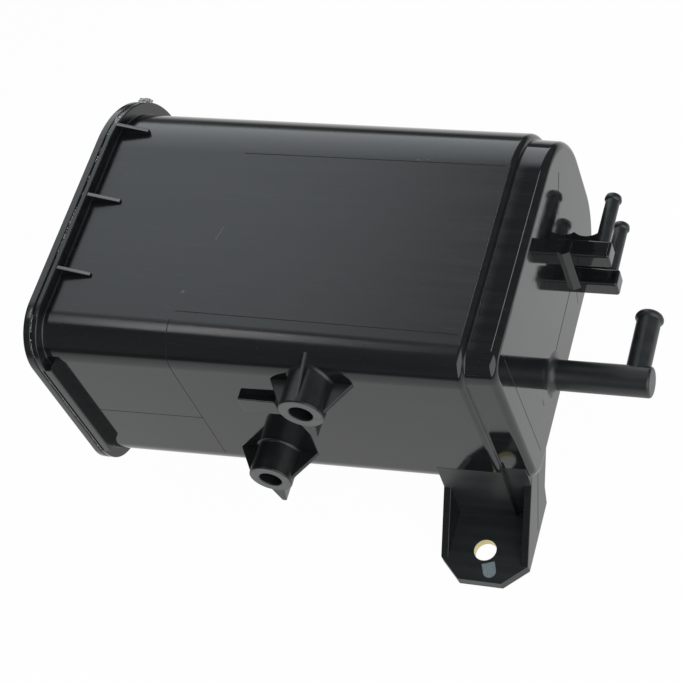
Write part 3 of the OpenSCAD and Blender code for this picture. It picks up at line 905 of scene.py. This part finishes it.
def nozzle_profile(tube: float, bead: float, bore: float, high: float, depth: float) -> list[Flat]:
    """Profile of a hose nozzle with its bead, rounded nose and bore.

    Args:
        tube: outside radius.
        bead: bead radius.
        bore: bore radius.
        high: height of the tip above the stub's axis.
        depth: depth of the bore below the tip.

    Returns:
        Radius and height of each point, from the foot round to the bottom of the bore.
    """
    ramp_high, flat, nose, tip = 0.8, 1.4, 1.6, tube + 0.25
    low = high - nose - flat
    # The tenths that are added or taken off round the bead and the nose
    return [(0.0, 0.0), (tube, 0.0), (tube, low - ramp_high - 0.2), (tube + 0.12, low - ramp_high + 0.1),
            (bead - 0.2, low - 0.15), (bead, low + 0.2), (bead, high - nose - 0.25),
            (bead - 0.15, high - nose + 0.2), (tip + 0.15, high - 0.35), (tip - 0.25, high),
            (bore + 0.35, high), (bore, high - 0.4), (bore, high - depth), (0.0, high - depth)]


@dataclass
class VentPort:
    """The large port: round stub with a flared collar and an upturned nozzle."""

    y: float = -26.0
    z: float = -33.0
    stub: float = 8.25
    reach: float = 53.0
    back: float = 9.0
    tip: float = 41.0
    nozzle: float = 6.45
    bead: float = 7.6
    bore: float = 4.8
    bore_floor: float = 4.0
    collar: float = 4.0
    bevel: float = 1.5
    lap: float = 1.0
    steps: int = 72

    def build(self) -> None:
        """Builds the stub and its nozzle as one moulding."""
        start, end = CASE.length - self.lap, CASE.length + self.reach
        wide = self.stub + self.collar
        flare = [(r, x + CASE.length) for r, x in arc((wide, self.collar), self.collar, 270, 180, steps=10)]
        edge = (end - self.bevel, self.stub - self.bevel)
        nose = [(r, x) for x, r in arc(edge, self.bevel, 90, 0, steps=6)]
        profile = [(0.0, start), (wide, start), *flare, *nose, (0.0, end)]
        form = Form().turned(profile, (0, self.y, self.z), Axis.X, self.steps)
        tube = nozzle_profile(self.nozzle, self.bead, self.bore, self.tip, self.tip - self.bore_floor)
        form.turned(tube, (end - self.back, self.y, self.z), Axis.Y, self.steps)
        form.piece("vent_port", PORT_NYLON)


@dataclass
class SmallPorts:
    """The two small ports: square stubs on a plank, curved webs and upturned nozzles."""

    y: float = 36.5
    first_z: float = -10.0
    pitch: float = 25.5
    half: float = 5.25
    reach: float = 23.0
    back: float = 6.5
    tip: float = 38.0
    nozzle: float = 3.85
    bead: float = 4.65
    bore: float = 2.2
    bore_floor: float = 3.0
    edge: float = 1.5
    lap: float = 1.0
    web: float = 2.4
    web_high: float = 8.0
    web_low: float = 5.0
    web_round: float = 9.5
    web_lap: float = 0.4
    plank_deep: float = 4.0
    plank_reach: float = 3.6
    plank_slope: float = 1.7
    plank_top: float = 10.5
    plank_long: float = 32.5
    steps: int = 48

    def web_outline(self, z: float) -> list[Point]:
        """Outline of the curved web between the end face and a nozzle."""
        face, axis = CASE.length - self.web_lap, CASE.length + self.reach - self.back
        base = self.y + self.half
        rise = self.web_round + self.web_low - self.web_high
        spread = math.degrees(math.acos(rise / self.web_round))
        middle = ((CASE.length + axis - self.nozzle) / 2, base + self.web_low + self.web_round)
        hollow = arc(middle, self.web_round, 270 - spread, 270 + spread, steps=20)
        high = base + self.web_high
        flat = [(face, self.y), (face, high), *hollow, (axis, high), (axis, self.y)]
        return [(x, y, z - self.web / 2) for x, y in flat]

    def build(self) -> None:
        """Builds the stubs, nozzles, webs and plank."""
        start, end = CASE.length - self.lap, CASE.length + self.reach
        h, tubes = self.half, Form()
        tube = nozzle_profile(self.nozzle, self.bead, self.bore, self.tip, self.tip - self.bore_floor)
        for i in (0, 1):
            z = self.first_z - i * self.pitch
            square = [(start, self.y + a * h, z + b * h) for a, b in ((-1, -1), (1, -1), (1, 1), (-1, 1))]
            stub = Form().prism(square, (end - start, 0, 0))
            stub.piece(f"small_stub_{i + 1}", CASE_NYLON, bevel=self.edge, segments=6)
            tubes.turned(tube, (end - self.back, self.y, z), Axis.Y, self.steps)
            web = Form().prism(self.web_outline(z), (0, 0, self.web))
            web.piece(f"small_web_{i + 1}", CASE_NYLON, bevel=0.4)
        tubes.piece("small_nozzles", PORT_NYLON)
        low, tip = self.y - h - self.plank_deep, CASE.length + self.plank_reach
        z = self.first_z + self.plank_top
        flat = [(start, low), (CASE.length, low), (tip, low + self.plank_slope), (tip, self.y),
                (start, self.y)]
        plank = Form().prism([(px, py, z) for px, py in flat], (0, 0, -self.plank_long))
        plank.piece("port_plank", CASE_NYLON, bevel=0.5)


@dataclass
class Boss:
    """A blind mounting boss on the near side: barrel, cut face, two gussets, fin and, where ribbed, a rib."""

    name: str
    x: float
    z: float
    radius: float = 12.0
    bore: float = 6.25
    depth: float = 14.0
    reach: float = 16.0
    web: float = 22.5
    sink: float = 2.0
    thick: float = 2.6
    ribbed: bool = True
    rib: float = 3.6
    rib_thick: float = 2.0
    rib_shift: float = 0.4
    rib_sink: float = 9.0
    fin: float = 24.0
    fin_root: float = 9.0
    web_drop: float = 1.5
    fin_drop: float = 0.6
    fillet: float = 1.6
    fillet_lap: float = 0.1
    lap: float = 0.4
    face_edge: float = 0.7
    face_skin: float = 0.03
    face_root: float = 0.3
    mouth: float = 0.5
    steps: int = 72

    @property
    def start(self) -> float:
        """Distance from the axis at which ribs leave the barrel's wall."""
        return (self.radius + self.bore) / 2

    @property
    def tip(self) -> float:
        """Y of the boss's end face."""
        return -(CASE.half_wide + self.reach)

    def level(self, radius: float, height: Callable[[float, float], float]) -> list[Point]:
        """Ring about the axis.

        Args:
            radius: its radius.
            height: gives the Y of a point from its X and Z.

        Returns:
            The ring's points.
        """
        turns = full_turn(self.steps)
        spots = [(self.x + radius * math.cos(t), self.z + radius * math.sin(t)) for t in turns]
        return [(x, height(x, z), z) for x, z in spots]

    def below_tip(self, rows: Sequence[Flat]) -> list[list[Point]]:
        """Rings of given radius and distance below the tip."""
        return [self.level(r, lambda x, z, d=drop: self.tip + d) for r, drop in rows]

    def barrel(self) -> list[list[Point]]:
        """Rings of the barrel, the lowest ones lying on the case's side."""
        rings = [self.level(self.radius, lambda x, z: CASE.side(x, z) + self.sink)]
        for r, lift in arc((self.radius + self.fillet, self.fillet), self.fillet, 270, 180, steps=6):
            rings.append(self.level(r, lambda x, z, up=lift: CASE.side(x, z) + self.fillet_lap - up))
        # The tenths that are added or taken off round the outer edge and the mouth of the bore
        return rings + self.below_tip((
            (self.radius, 0.8), (self.radius - 0.12, 0.4), (self.radius - 0.4, 0.12),
            (self.radius - 0.8, 0.0), (self.bore + self.mouth, 0.0), (self.bore + 0.12, 0.15),
            (self.bore, self.mouth), (self.bore, self.depth)))

    def face(self) -> list[list[Point]]:
        """Rings of the thin flat land round the bore, which a cutter has left paler."""
        outer, inner = self.radius - self.face_edge, self.bore + self.mouth
        return self.below_tip(((outer, self.face_root), (outer, -self.face_skin),
                               (inner, -self.face_skin), (inner, self.face_root)))

    def slope(self, spread: float, sink: float) -> list[Flat]:
        """Outline of a gusset that falls from the tip to the case's side.

        Args:
            spread: distance from the axis at which it meets the side.
            sink: how deep its root lies under the side's surface.

        Returns:
            Distance from the axis and Y of each corner.
        """
        side, high = CASE.side(self.x, self.z), self.tip + self.web_drop
        run = (spread - self.radius) / (side - high)
        return [(self.start, side + sink), (spread + run * sink, side + sink),
                (self.radius - self.lap, high), (self.start, high)]

    def build(self) -> None:
        """Builds the barrel with its face, the rib, the gussets and the fin."""
        Form().loft(self.barrel()).piece(f"{self.name}_barrel", BOSS_NYLON)
        Form().loft(self.face(), closed=True).piece(f"{self.name}_face", FACE_NYLON)
        if self.ribbed:
            side = self.x + self.rib_shift - self.rib_thick / 2
            narrow = self.slope(self.radius + self.rib, self.rib_sink)
            rib = Form().prism([(side, y, self.z + dz) for dz, y in narrow], (self.rib_thick, 0, 0))
            rib.piece(f"{self.name}_rib", BOSS_NYLON, bevel=0.25, segments=2)
        ribs, level = Form(), self.z - self.thick / 2
        for way in (-1, 1):
            web = [(self.x + way * dx, y, level) for dx, y in self.slope(self.web, self.sink)]
            ribs.prism(web, (0, 0, self.thick))
        wide, slim = self.fin_root / 2, self.thick / 2
        fin = [(-wide, -self.start), (wide, -self.start), (slim, -self.fin), (-slim, -self.fin)]
        deep = CASE.side(self.x, self.z) + self.rib_sink - self.tip
        ribs.prism([(self.x + dx, self.tip + self.fin_drop, self.z + dz) for dx, dz in fin], (0, deep, 0))
        ribs.piece(f"{self.name}_gussets", BOSS_NYLON, bevel=0.45)


@dataclass
class Lug:
    """The bolt lug under the near side: pad, upright wall, two side plates and a steel bush."""

    x: float = 221.4
    y: float = -108.8
    drop: float = 80.0
    thick: float = 5.5
    wide: float = 48.2
    offset: float = 1.1
    lean: float = 4.5
    gusset: float = 38.0
    tip: float = 18.4
    chamfer: float = 11.5
    tip_half: float = 12.0
    under: float = 10.0
    web: float = 4.0
    web_run: float = 20.0
    bend_run: float = 4.5
    bend_rise: float = 10.5
    hole: float = 7.35
    bush: float = 7.3
    bore: float = 6.1
    lip: float = 0.35
    lip_gap: float = 0.05
    bush_lift: float = 0.05
    bush_edge: float = 0.1
    bush_mouth: Flat = (0.4, 0.45)
    # Gap that keeps neighbouring faces from lying in one plane
    hair: float = 0.15
    flush: float = 4.0
    steps: int = 64

    @property
    def root(self) -> float:
        """Y of the case's side at the shoulder."""
        return CASE.inset(CASE.shoulder) - CASE.half_wide

    @property
    def base(self) -> float:
        """Height of the pad's lower face."""
        return -(self.drop + self.thick)

    @property
    def top(self) -> float:
        """Height at which the walls end inside the case's lower corner."""
        return CASE.near_round - CASE.half_high

    def wall(self, form: Form, x0: float, x1: float, y: float) -> None:
        """Adds a part of the upright wall, leaning out from the side.

        Args:
            form: form that takes the wall.
            x0: where it starts along X.
            x1: where it ends along X.
            y: place of its outer face at the top.
        """
        high, low = self.top + self.flush, self.base + self.hair
        rings = []
        for x in (x0, x1):
            side = y - CASE.inset(CASE.shoulder) + CASE.inset(x)
            foot = side - (self.top - low) * math.tan(math.radians(self.lean))
            rings.append([(x, foot, low), (x, foot + self.web, low), (x, side + self.web, high),
                          (x, side - self.hair, high), (x, side - self.hair, self.top)])
        form.loft(rings)

    def plate(self, x: float, y: float) -> Form:
        """Side plate: a gusset over the pad and a web under the body.

        Args:
            x: where the plate starts along X.
            y: place of the wall's outer face at the top.

        Returns:
            The form of the plate.
        """
        low = self.y - self.tip + self.chamfer
        back, run = self.root + self.under, self.root + self.under + self.web_run
        mid = y + self.web / 2
        rise = (mid - low) * math.tan(math.radians(self.gusset)) - self.drop
        foot = self.base + self.hair
        flat = [(low, foot), (low, -self.drop), (mid, rise), (mid, self.top), (run, self.top),
                (run, self.top - CASE.near_round), (back + self.bend_run, self.base + self.bend_rise),
                (back, foot)]
        return Form().prism([(x, py, pz) for py, pz in flat], (self.web, 0, 0))

    def circle(self, radius: float) -> list[Flat]:
        """X and Y of points round the hole's axis."""
        return [(self.x + radius * math.cos(t), self.y + radius * math.sin(t)) for t in full_turn(self.steps)]

    def pad(self, outline: list[Flat]) -> Form:
        """Pad with a round hole.

        Args:
            outline: corners of the pad.

        Returns:
            The form of the pad.
        """
        rim = []
        for t in full_turn(self.steps):
            way = (math.cos(t), math.sin(t))
            far = min(d for a, b in zip(outline, outline[1:] + outline[:1])
                      if (d := ray_hit((self.x, self.y), way, a, b)) > 0)
            rim.append((self.x + way[0] * far, self.y + way[1] * far))
        for corner in outline:
            turn = math.atan2(corner[1] - self.y, corner[0] - self.x) % (2 * math.pi)
            rim[round(turn / (2 * math.pi) * self.steps) % self.steps] = corner
        base, top = self.base, self.base + self.thick
        hole, edge = self.circle(self.hole), self.circle(self.bore + self.lip_gap)
        under = top - self.lip
        rows = ((rim, base), (rim, top), (edge, top), (edge, under), (hole, under), (hole, base))
        return Form().loft([[(x, y, z) for x, y in flat] for flat, z in rows], True)

    def sleeve(self) -> Form:
        """The steel bush, chamfered at its lower end and held under the hole's lip."""
        low, high = self.base + self.bush_lift, -self.drop - self.lip - self.bush_edge
        across, along = self.bush_mouth
        ring = [(self.bore, low + along), (self.bore + across, low), (self.bush - self.bush_edge, low),
                (self.bush, low + self.bush_edge), (self.bush, high), (self.bore, high)]
        return Form().turned(ring, (self.x, self.y, 0), Axis.Z, self.steps, True)

    def build(self) -> None:
        """Builds the pad with its hole, the wall, the plates and the bush."""
        back, tip, mid = self.root + self.under, self.y - self.tip, self.x + self.offset
        low, half, pad = tip + self.chamfer, self.wide / 2, self.wide / 2 - self.hair
        outline = [(mid - pad, back), (mid - pad, low), (mid - self.tip_half, tip),
                   (mid + self.tip_half, tip), (mid + pad, low), (mid + pad, back)]
        self.pad(outline).piece("lug_pad", PORT_NYLON, bevel=0.5)
        walls, step = Form(), self.root + CASE.neck_step
        self.wall(walls, mid - pad, CASE.shoulder, self.root)
        self.wall(walls, CASE.shoulder - self.web, mid + pad, step)
        walls.piece("lug_wall", PORT_NYLON, bevel=0.3, segments=2)
        self.plate(mid - half, self.root).piece("lug_plate_1", CASE_NYLON, bevel=0.3, segments=2)
        self.plate(mid + half - self.web, step).piece("lug_plate_2", CASE_NYLON, bevel=0.3, segments=2)
        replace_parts(self.sleeve().piece("bush_sleeve", BUSH_STEEL), "lug_bush")


def ray_hit(start: Flat, way: Flat, a: Flat, b: Flat) -> float:
    """Distance along a ray to a segment.

    Args:
        start: where the ray starts.
        way: its direction.
        a: first end of the segment.
        b: second end of the segment.

    Returns:
        The distance, or infinity where the ray misses.
    """
    ex, ey = b[0] - a[0], b[1] - a[1]
    cross = way[0] * ey - way[1] * ex
    if abs(cross) < ALIKE:
        return math.inf
    dx, dy = a[0] - start[0], a[1] - start[1]
    along = (dx * ey - dy * ex) / cross
    share = (dx * way[1] - dy * way[0]) / cross
    return along if -TINY <= share <= 1 + TINY else math.inf


@dataclass
class Marks:
    """Mould lines, painted shade in the cracks of the flash and the pit, the bare block, scuffs and the paint
    dab on the lug.
    """

    line_wide: float = 0.62
    line_high: float = 0.14
    line_sink: float = 0.03
    line_root: float = 0.15
    # X and Y of the lines on the upper face
    upper_lines: Strokes = (((77, -63), (229, -63)), ((83, 40), (229, 40)))
    # The slide's line over the near corner: its place, where it stops along Y and Z, its share of height
    slide_x: float = 75.5
    slide_stop: Flat = (-63, -44)
    slide_share: float = 0.7
    # The line along the near side: where it runs along X, and its height
    side_run: Flat = (13, 75)
    side_high: float = -5.6
    # Y and Z of the lines on the end face, and the line on the lug's plate
    end_lines: Strokes = (((-66, 44), (-66, -43)), ((28, -26), (-14, -27.6)), ((53, 37.5), (40, 27)))
    lug_line: tuple[Point, Point] = ((246.6, -71.5, -58.4), (246.6, -93, -81.5))
    # X and Y of the scuffs on the upper face, and their width and height
    scuff_lines: Strokes = (((84.6, -17.5), (86.8, -8.3)), ((181.0, 41), (182.6, 41.1)),
                            ((186.0, 41.4), (187.4, 41.5)), ((76, -52), (78.4, -50.2)),
                            ((76.4, -50), (78, -52.2)))
    scuff_size: Flat = (0.5, 0.05)
    # Y and Z of the painted shade in the cracks and the pit on the end face, the width of each, and their
    # height
    crack_lines: Strokes = (((40.2, 27.0), (38.6, 25.4), (37.2, 22.6)),
                            ((-45, -27), (-46.6, -28.6), (-46, -31)),
                            ((30, -37.5), (28.4, -40), (27.2, -44)), ((-13, -27.5), (-15, -27.9)))
    crack_wide: tuple[float, ...] = (1.1, 0.7, 0.7, 0.6)
    crack_high: float = 0.12
    block_x: float = 107.0
    block_z: float = 11.0
    block_long: float = 21.0
    block_high: float = 12.0
    block_reach: float = 3.5
    block_sink: float = 1.0
    dab_spot: Flat = (224.8, -116.0)
    dab_half: float = 3.5
    dab_long: float = 5.4
    dab_turn: float = 21.0
    dab_level: float = -80.0
    dab_sink: float = 0.1
    dab_thick: float = 0.16
    # Angles of the points round the dab's end
    dab_round: tuple[float, ...] = (0.4, 0.8, 1.2, 1.57, 1.94, 2.34, 2.74)

    def ridge(self, form: Form, path: Sequence[Point], ups: Sequence[Point], wide: float,
              high: float) -> None:
        """Adds a thin ridge along a path on a surface.

        Args:
            form: form that takes the ridge.
            path: points on the surface.
            ups: surface normal at each point.
            wide: width of the ridge.
            high: its height.
        """
        rings = []
        for i, (spot, up) in enumerate(zip(path, ups)):
            along = Vector(path[min(i + 1, len(path) - 1)]) - Vector(path[max(i - 1, 0)])
            normal = Vector(up).normalized()
            across = along.cross(normal).normalized() * (wide / 2)
            at, sunk = Vector(spot), normal * self.line_sink
            rings.append([tuple(at - across - sunk), tuple(at + normal * high),
                          tuple(at + across - sunk), tuple(at - normal * self.line_root)])
        form.loft(rings)

    def straight(self, form: Form, ends: Sequence[Point], up: Point, wide: float = 0.0,
                 high: float = 0.0) -> None:
        """Adds a ridge through points of a flat face, as wide and high as a mould line unless told.

        Args:
            form: form that takes the ridge.
            ends: points on the face.
            up: the face's normal.
            wide: width of the ridge.
            high: its height.
        """
        self.ridge(form, ends, [up] * len(ends), wide or self.line_wide, high or self.line_high)

    @staticmethod
    def upper(stroke: Sequence[Flat]) -> list[Point]:
        """Points of a stroke on the upper face."""
        return [(x, y, CASE.top(x)) for x, y in stroke]

    @staticmethod
    def end(stroke: Sequence[Flat]) -> list[Point]:
        """Points of a stroke on the end face."""
        return [(CASE.length, y, z) for y, z in stroke]

    def mould_lines(self) -> None:
        """Builds the mould's parting and slide lines."""
        form, case = Form(), CASE
        for stroke in self.upper_lines:
            self.straight(form, self.upper(stroke), UP)
        stop_y, stop_z = self.slide_stop
        ring = section(self.slide_x, -case.inset(self.slide_x))
        ring = [p for p in ring if p[1] < stop_y and p[2] > stop_z]
        centre = case.half_wide - case.near_round
        level = case.half_high - case.near_round
        ups = [(0, p[1] + centre, max(p[2] - level, 0)) for p in ring]
        self.ridge(form, ring, ups, self.line_wide, self.line_high * self.slide_share)
        self.straight(form, [(x, case.side(x, self.side_high), self.side_high) for x in self.side_run], NEAR)
        for stroke in self.end_lines:
            self.straight(form, self.end(stroke), OUT)
        self.straight(form, self.lug_line, OUT)
        form.piece("mould_lines", LINE_AND_CRACK_SHADE_NYLON)

    def scuffs(self) -> None:
        """Builds the rubbed marks on the upper face."""
        form = Form()
        for stroke in self.scuff_lines:
            self.straight(form, self.upper(stroke), UP, *self.scuff_size)
        form.piece("scuffs", SCUFF)

    def cracks(self) -> None:
        """Builds near-black strips that paint the shade in the pit and the torn flash edges on the end face.
        """
        form = Form()
        for stroke, wide in zip(self.crack_lines, self.crack_wide):
            self.straight(form, self.end(stroke), OUT, wide, self.crack_high)
        # The mould lines' near-black finish here is painted shade: the cracks and the pit are hollows whose
        # dark is shade
        form.piece("flash_cracks", LINE_AND_CRACK_SHADE_NYLON)

    def block(self) -> None:
        """Builds the bare block beside the upper boss."""
        y = CASE.side(self.block_x, self.block_z) + self.block_sink
        x0, x1 = self.block_x, self.block_x + self.block_long
        z0, z1 = self.block_z, self.block_z + self.block_high
        form = Form().prism([(x0, y, z0), (x1, y, z0), (x1, y, z1), (x0, y, z1)],
                            (0, -self.block_reach - self.block_sink, 0))
        form.piece("bare_block", CASE_NYLON, bevel=0.5)

    def dab(self) -> None:
        """Builds the paint dab beside the lug hole."""
        half, long, turn = self.dab_half, self.dab_long, math.radians(self.dab_turn)
        round_end = [(half * math.cos(t), long + half * math.sin(t)) for t in self.dab_round]
        flat = [(-half, 0.0), (half, 0.0), (half, long), *round_end, (-half, long)]
        level, (x, y) = self.dab_level - self.dab_sink, self.dab_spot
        cos, sin = math.cos(turn), math.sin(turn)
        spots = [(x + u * cos + v * sin, y + u * sin - v * cos, level) for u, v in flat]
        Form().prism(spots, (0, 0, self.dab_thick)).piece("paint_dab", PAINT)

    def build(self) -> None:
        """Builds all the marks."""
        self.mould_lines()
        self.scuffs()
        self.cracks()
        self.block()
        self.dab()


def dress_inside() -> None:
    """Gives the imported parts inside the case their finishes."""
    finishes = {"charcoal": CHARCOAL, "foam": FOAM, "plate": PLATE_NYLON, "spring": SPRING_STEEL}
    for name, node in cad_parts.items():
        for word, finish in finishes.items():
            if word in name:
                node.data.materials.clear()
                node.data.materials.append(finish.material())
                LOG.info("%s dressed", name)


@dataclass(frozen=True)
class Lamp:
    """A soft lamp: the point it looks at, the way and distance to it in metres, its size and its watts."""

    name: str
    target: Point
    way: Point
    far: float
    size: Flat
    watts: float

    def hang(self) -> None:
        """Hangs the lamp in the scene."""
        data = bpy.data.lights.new(self.name, "AREA")
        data.shape = "RECTANGLE"
        data.size, data.size_y = self.size
        data.energy = self.watts
        made = add_object(self.name, data)
        toward = Vector(self.way).normalized()
        made.location = Vector(self.target) + toward * self.far
        made.rotation_euler = toward.to_track_quat("Z", "Y").to_euler()


@dataclass
class Studio:
    """White floor, a far window in a dark room, three soft lamps and the camera of the photograph."""

    floor_half: float = 16.0
    floor_gap: float = 0.0002
    floor_seen: float = 0.98
    floor_mirrored: float = 0.74
    floor_middle: Point = (0.13, -0.08, 0.0)
    # Where the floor's painted pool of light starts and ends fading to its far share of painted shade, in
    # metres from its middle
    floor_light_pool: Flat = (0.25, 0.8)
    floor_far_shade: float = 0.08
    # The world's strength in the window and round it, then the window's edges: across it, and low to high
    window: float = 1.8
    room: float = 0.17
    window_slant: float = -0.4
    window_side: Flat = (-0.575, -0.49)
    window_lift: float = 0.35
    window_low: Flat = (0.48, 0.84)
    # They fill the near side, draw the band of light on the near corner, and light the rim's gussets
    lamps: tuple[Lamp, ...] = (
        Lamp("side_lamp", (0.15, 0.0, 0.0), (0.75, -0.50, 0.43), far=2.2, size=(3.2, 3.2), watts=60.0),
        Lamp("upper_lamp", (0.14, -0.07, 0.06), (-0.43, 0.02, 0.903), far=12.0, size=(4.4, 1.0), watts=84.0),
        Lamp("far_lamp", (0.015, 0.0, 0.065), (-0.085, 0.51, 0.856), far=12.0, size=(1.2, 2.4), watts=34.0))
    lens: float = 99.74
    sensor: float = 36.0
    sight: float = 60.0
    place: Point = (0.5310, -0.5227, 0.7875)
    right: Point = (0.92102, 0.26663, -0.28394)
    up: Point = (-0.07167, 0.83255, 0.54930)
    back: Point = (0.38286, -0.48557, 0.78590)

    def floor(self) -> None:
        """Lays a white floor that keeps a soft shadow, with a painted pool of light: its colour and its glow
        in reflections fade away from its middle.
        """
        level = CAD_BOX[0].z - self.floor_gap
        s = self.floor_half
        data = bpy.data.meshes.new("floor")
        data.from_pydata([(-s, -s, level), (s, -s, level), (s, s, level), (-s, s, level)], [], [(0, 1, 2, 3)])
        made = add_object("floor", data)
        paper = bpy.data.materials.new("floor_paper")
        tree = empty_tree(paper)
        white = add_node(tree, "ShaderNodeEmission", inputs={"Color": linear("#ffffff"), "Strength": 1.0})
        rays = add_node(tree, "ShaderNodeLightPath").outputs
        bounced = maths(tree, "MAXIMUM", rays["Is Glossy Ray"], rays["Is Transmission Ray"])
        spot = add_node(tree, "ShaderNodeTexCoord")
        away = add_node(tree, "ShaderNodeVectorMath", {"operation": "DISTANCE"}, {
            0: spot.outputs["Object"], 1: (self.floor_middle[0], self.floor_middle[1], level)})
        # Painted pool of light: the floor's colour and its glow seen in reflections darken away from the
        # middle
        fade = ramp(tree, away.outputs["Value"], self.floor_light_pool, (1.0, self.floor_far_shade), smooth=True)
        shade = add_node(tree, "ShaderNodeVectorMath", {"operation": "SCALE"},
                         {0: linear("#f2f2f0")[:3], "Scale": fade})
        grey = add_node(tree, "ShaderNodeBsdfDiffuse", inputs={"Color": shade.outputs[0]})
        mirrored = maths(tree, "MULTIPLY", bounced, maths(tree, "MULTIPLY", fade, self.floor_mirrored))
        share = maths(tree, "MULTIPLY_ADD", rays["Is Camera Ray"], self.floor_seen, mirrored)
        mixed = add_node(tree, "ShaderNodeMixShader",
                         inputs={0: share, 1: grey.outputs[0], 2: white.outputs[0]})
        add_node(tree, "ShaderNodeOutputMaterial", inputs={"Surface": mixed.outputs[0]})
        data.materials.append(paper)

    def light(self) -> None:
        """Sets up the window in its dark room, and hangs the lamps."""
        world = bpy.data.worlds.new("studio")
        bpy.context.scene.world = world
        tree = empty_tree(world)
        way = add_node(tree, "ShaderNodeTexCoord")
        parts = add_node(tree, "ShaderNodeSeparateXYZ", inputs={0: way.outputs["Generated"]}).outputs
        across = maths(tree, "MULTIPLY_ADD", parts["Y"], self.window_slant, parts["X"])
        raised = maths(tree, "MULTIPLY_ADD", parts["Z"], self.window_lift, parts["Y"])
        side = ramp(tree, across, self.window_side, (1.0, 0.0), smooth=True)
        low = ramp(tree, raised, self.window_low, smooth=True)
        strength = ramp(tree, maths(tree, "MULTIPLY", side, low), target=(self.room, self.window))
        sky = add_node(tree, "ShaderNodeBackground",
                       inputs={"Color": linear("#f4fbff"), "Strength": strength})
        add_node(tree, "ShaderNodeOutputWorld", inputs={"Surface": sky.outputs[0]})
        for lamp in self.lamps:
            lamp.hang()

    def camera(self) -> None:
        """Places the camera where the photograph was taken."""
        data = bpy.data.cameras.new("camera")
        data.sensor_width = self.sensor
        data.lens = self.lens
        data.clip_end = self.sight
        made = add_object("camera", data)
        turn = Matrix((self.right, self.up, self.back)).transposed().to_4x4()
        made.matrix_world = Matrix.Translation(self.place) @ turn
        bpy.context.scene.camera = made

    def build(self) -> None:
        """Sets up the floor, light, camera and plain view."""
        self.floor()
        self.light()
        self.camera()
        bpy.context.scene.view_settings.view_transform = "Standard"


@dataclass
class Canister:
    """The whole canister."""

    parts: list[Any] = field(default_factory=lambda: [
        CaseShell(), RimGussets(), Cover(), WeldFlash(), VentPort(), SmallPorts(),
        Boss("boss_upper", 152.5, 39.0), Boss("boss_lower", 110.5, -35.0, ribbed=False), Lug(), Marks()])

    def build(self) -> None:
        """Builds every part in order."""
        for part in self.parts:
            part.build()
        dress_inside()


def main() -> None:
    """Builds the canister and its studio."""
    logging.basicConfig(level=logging.INFO, format="%(name)s %(message)s")
    Canister().build()
    Studio().build()


if __name__ == "__main__":
    main()
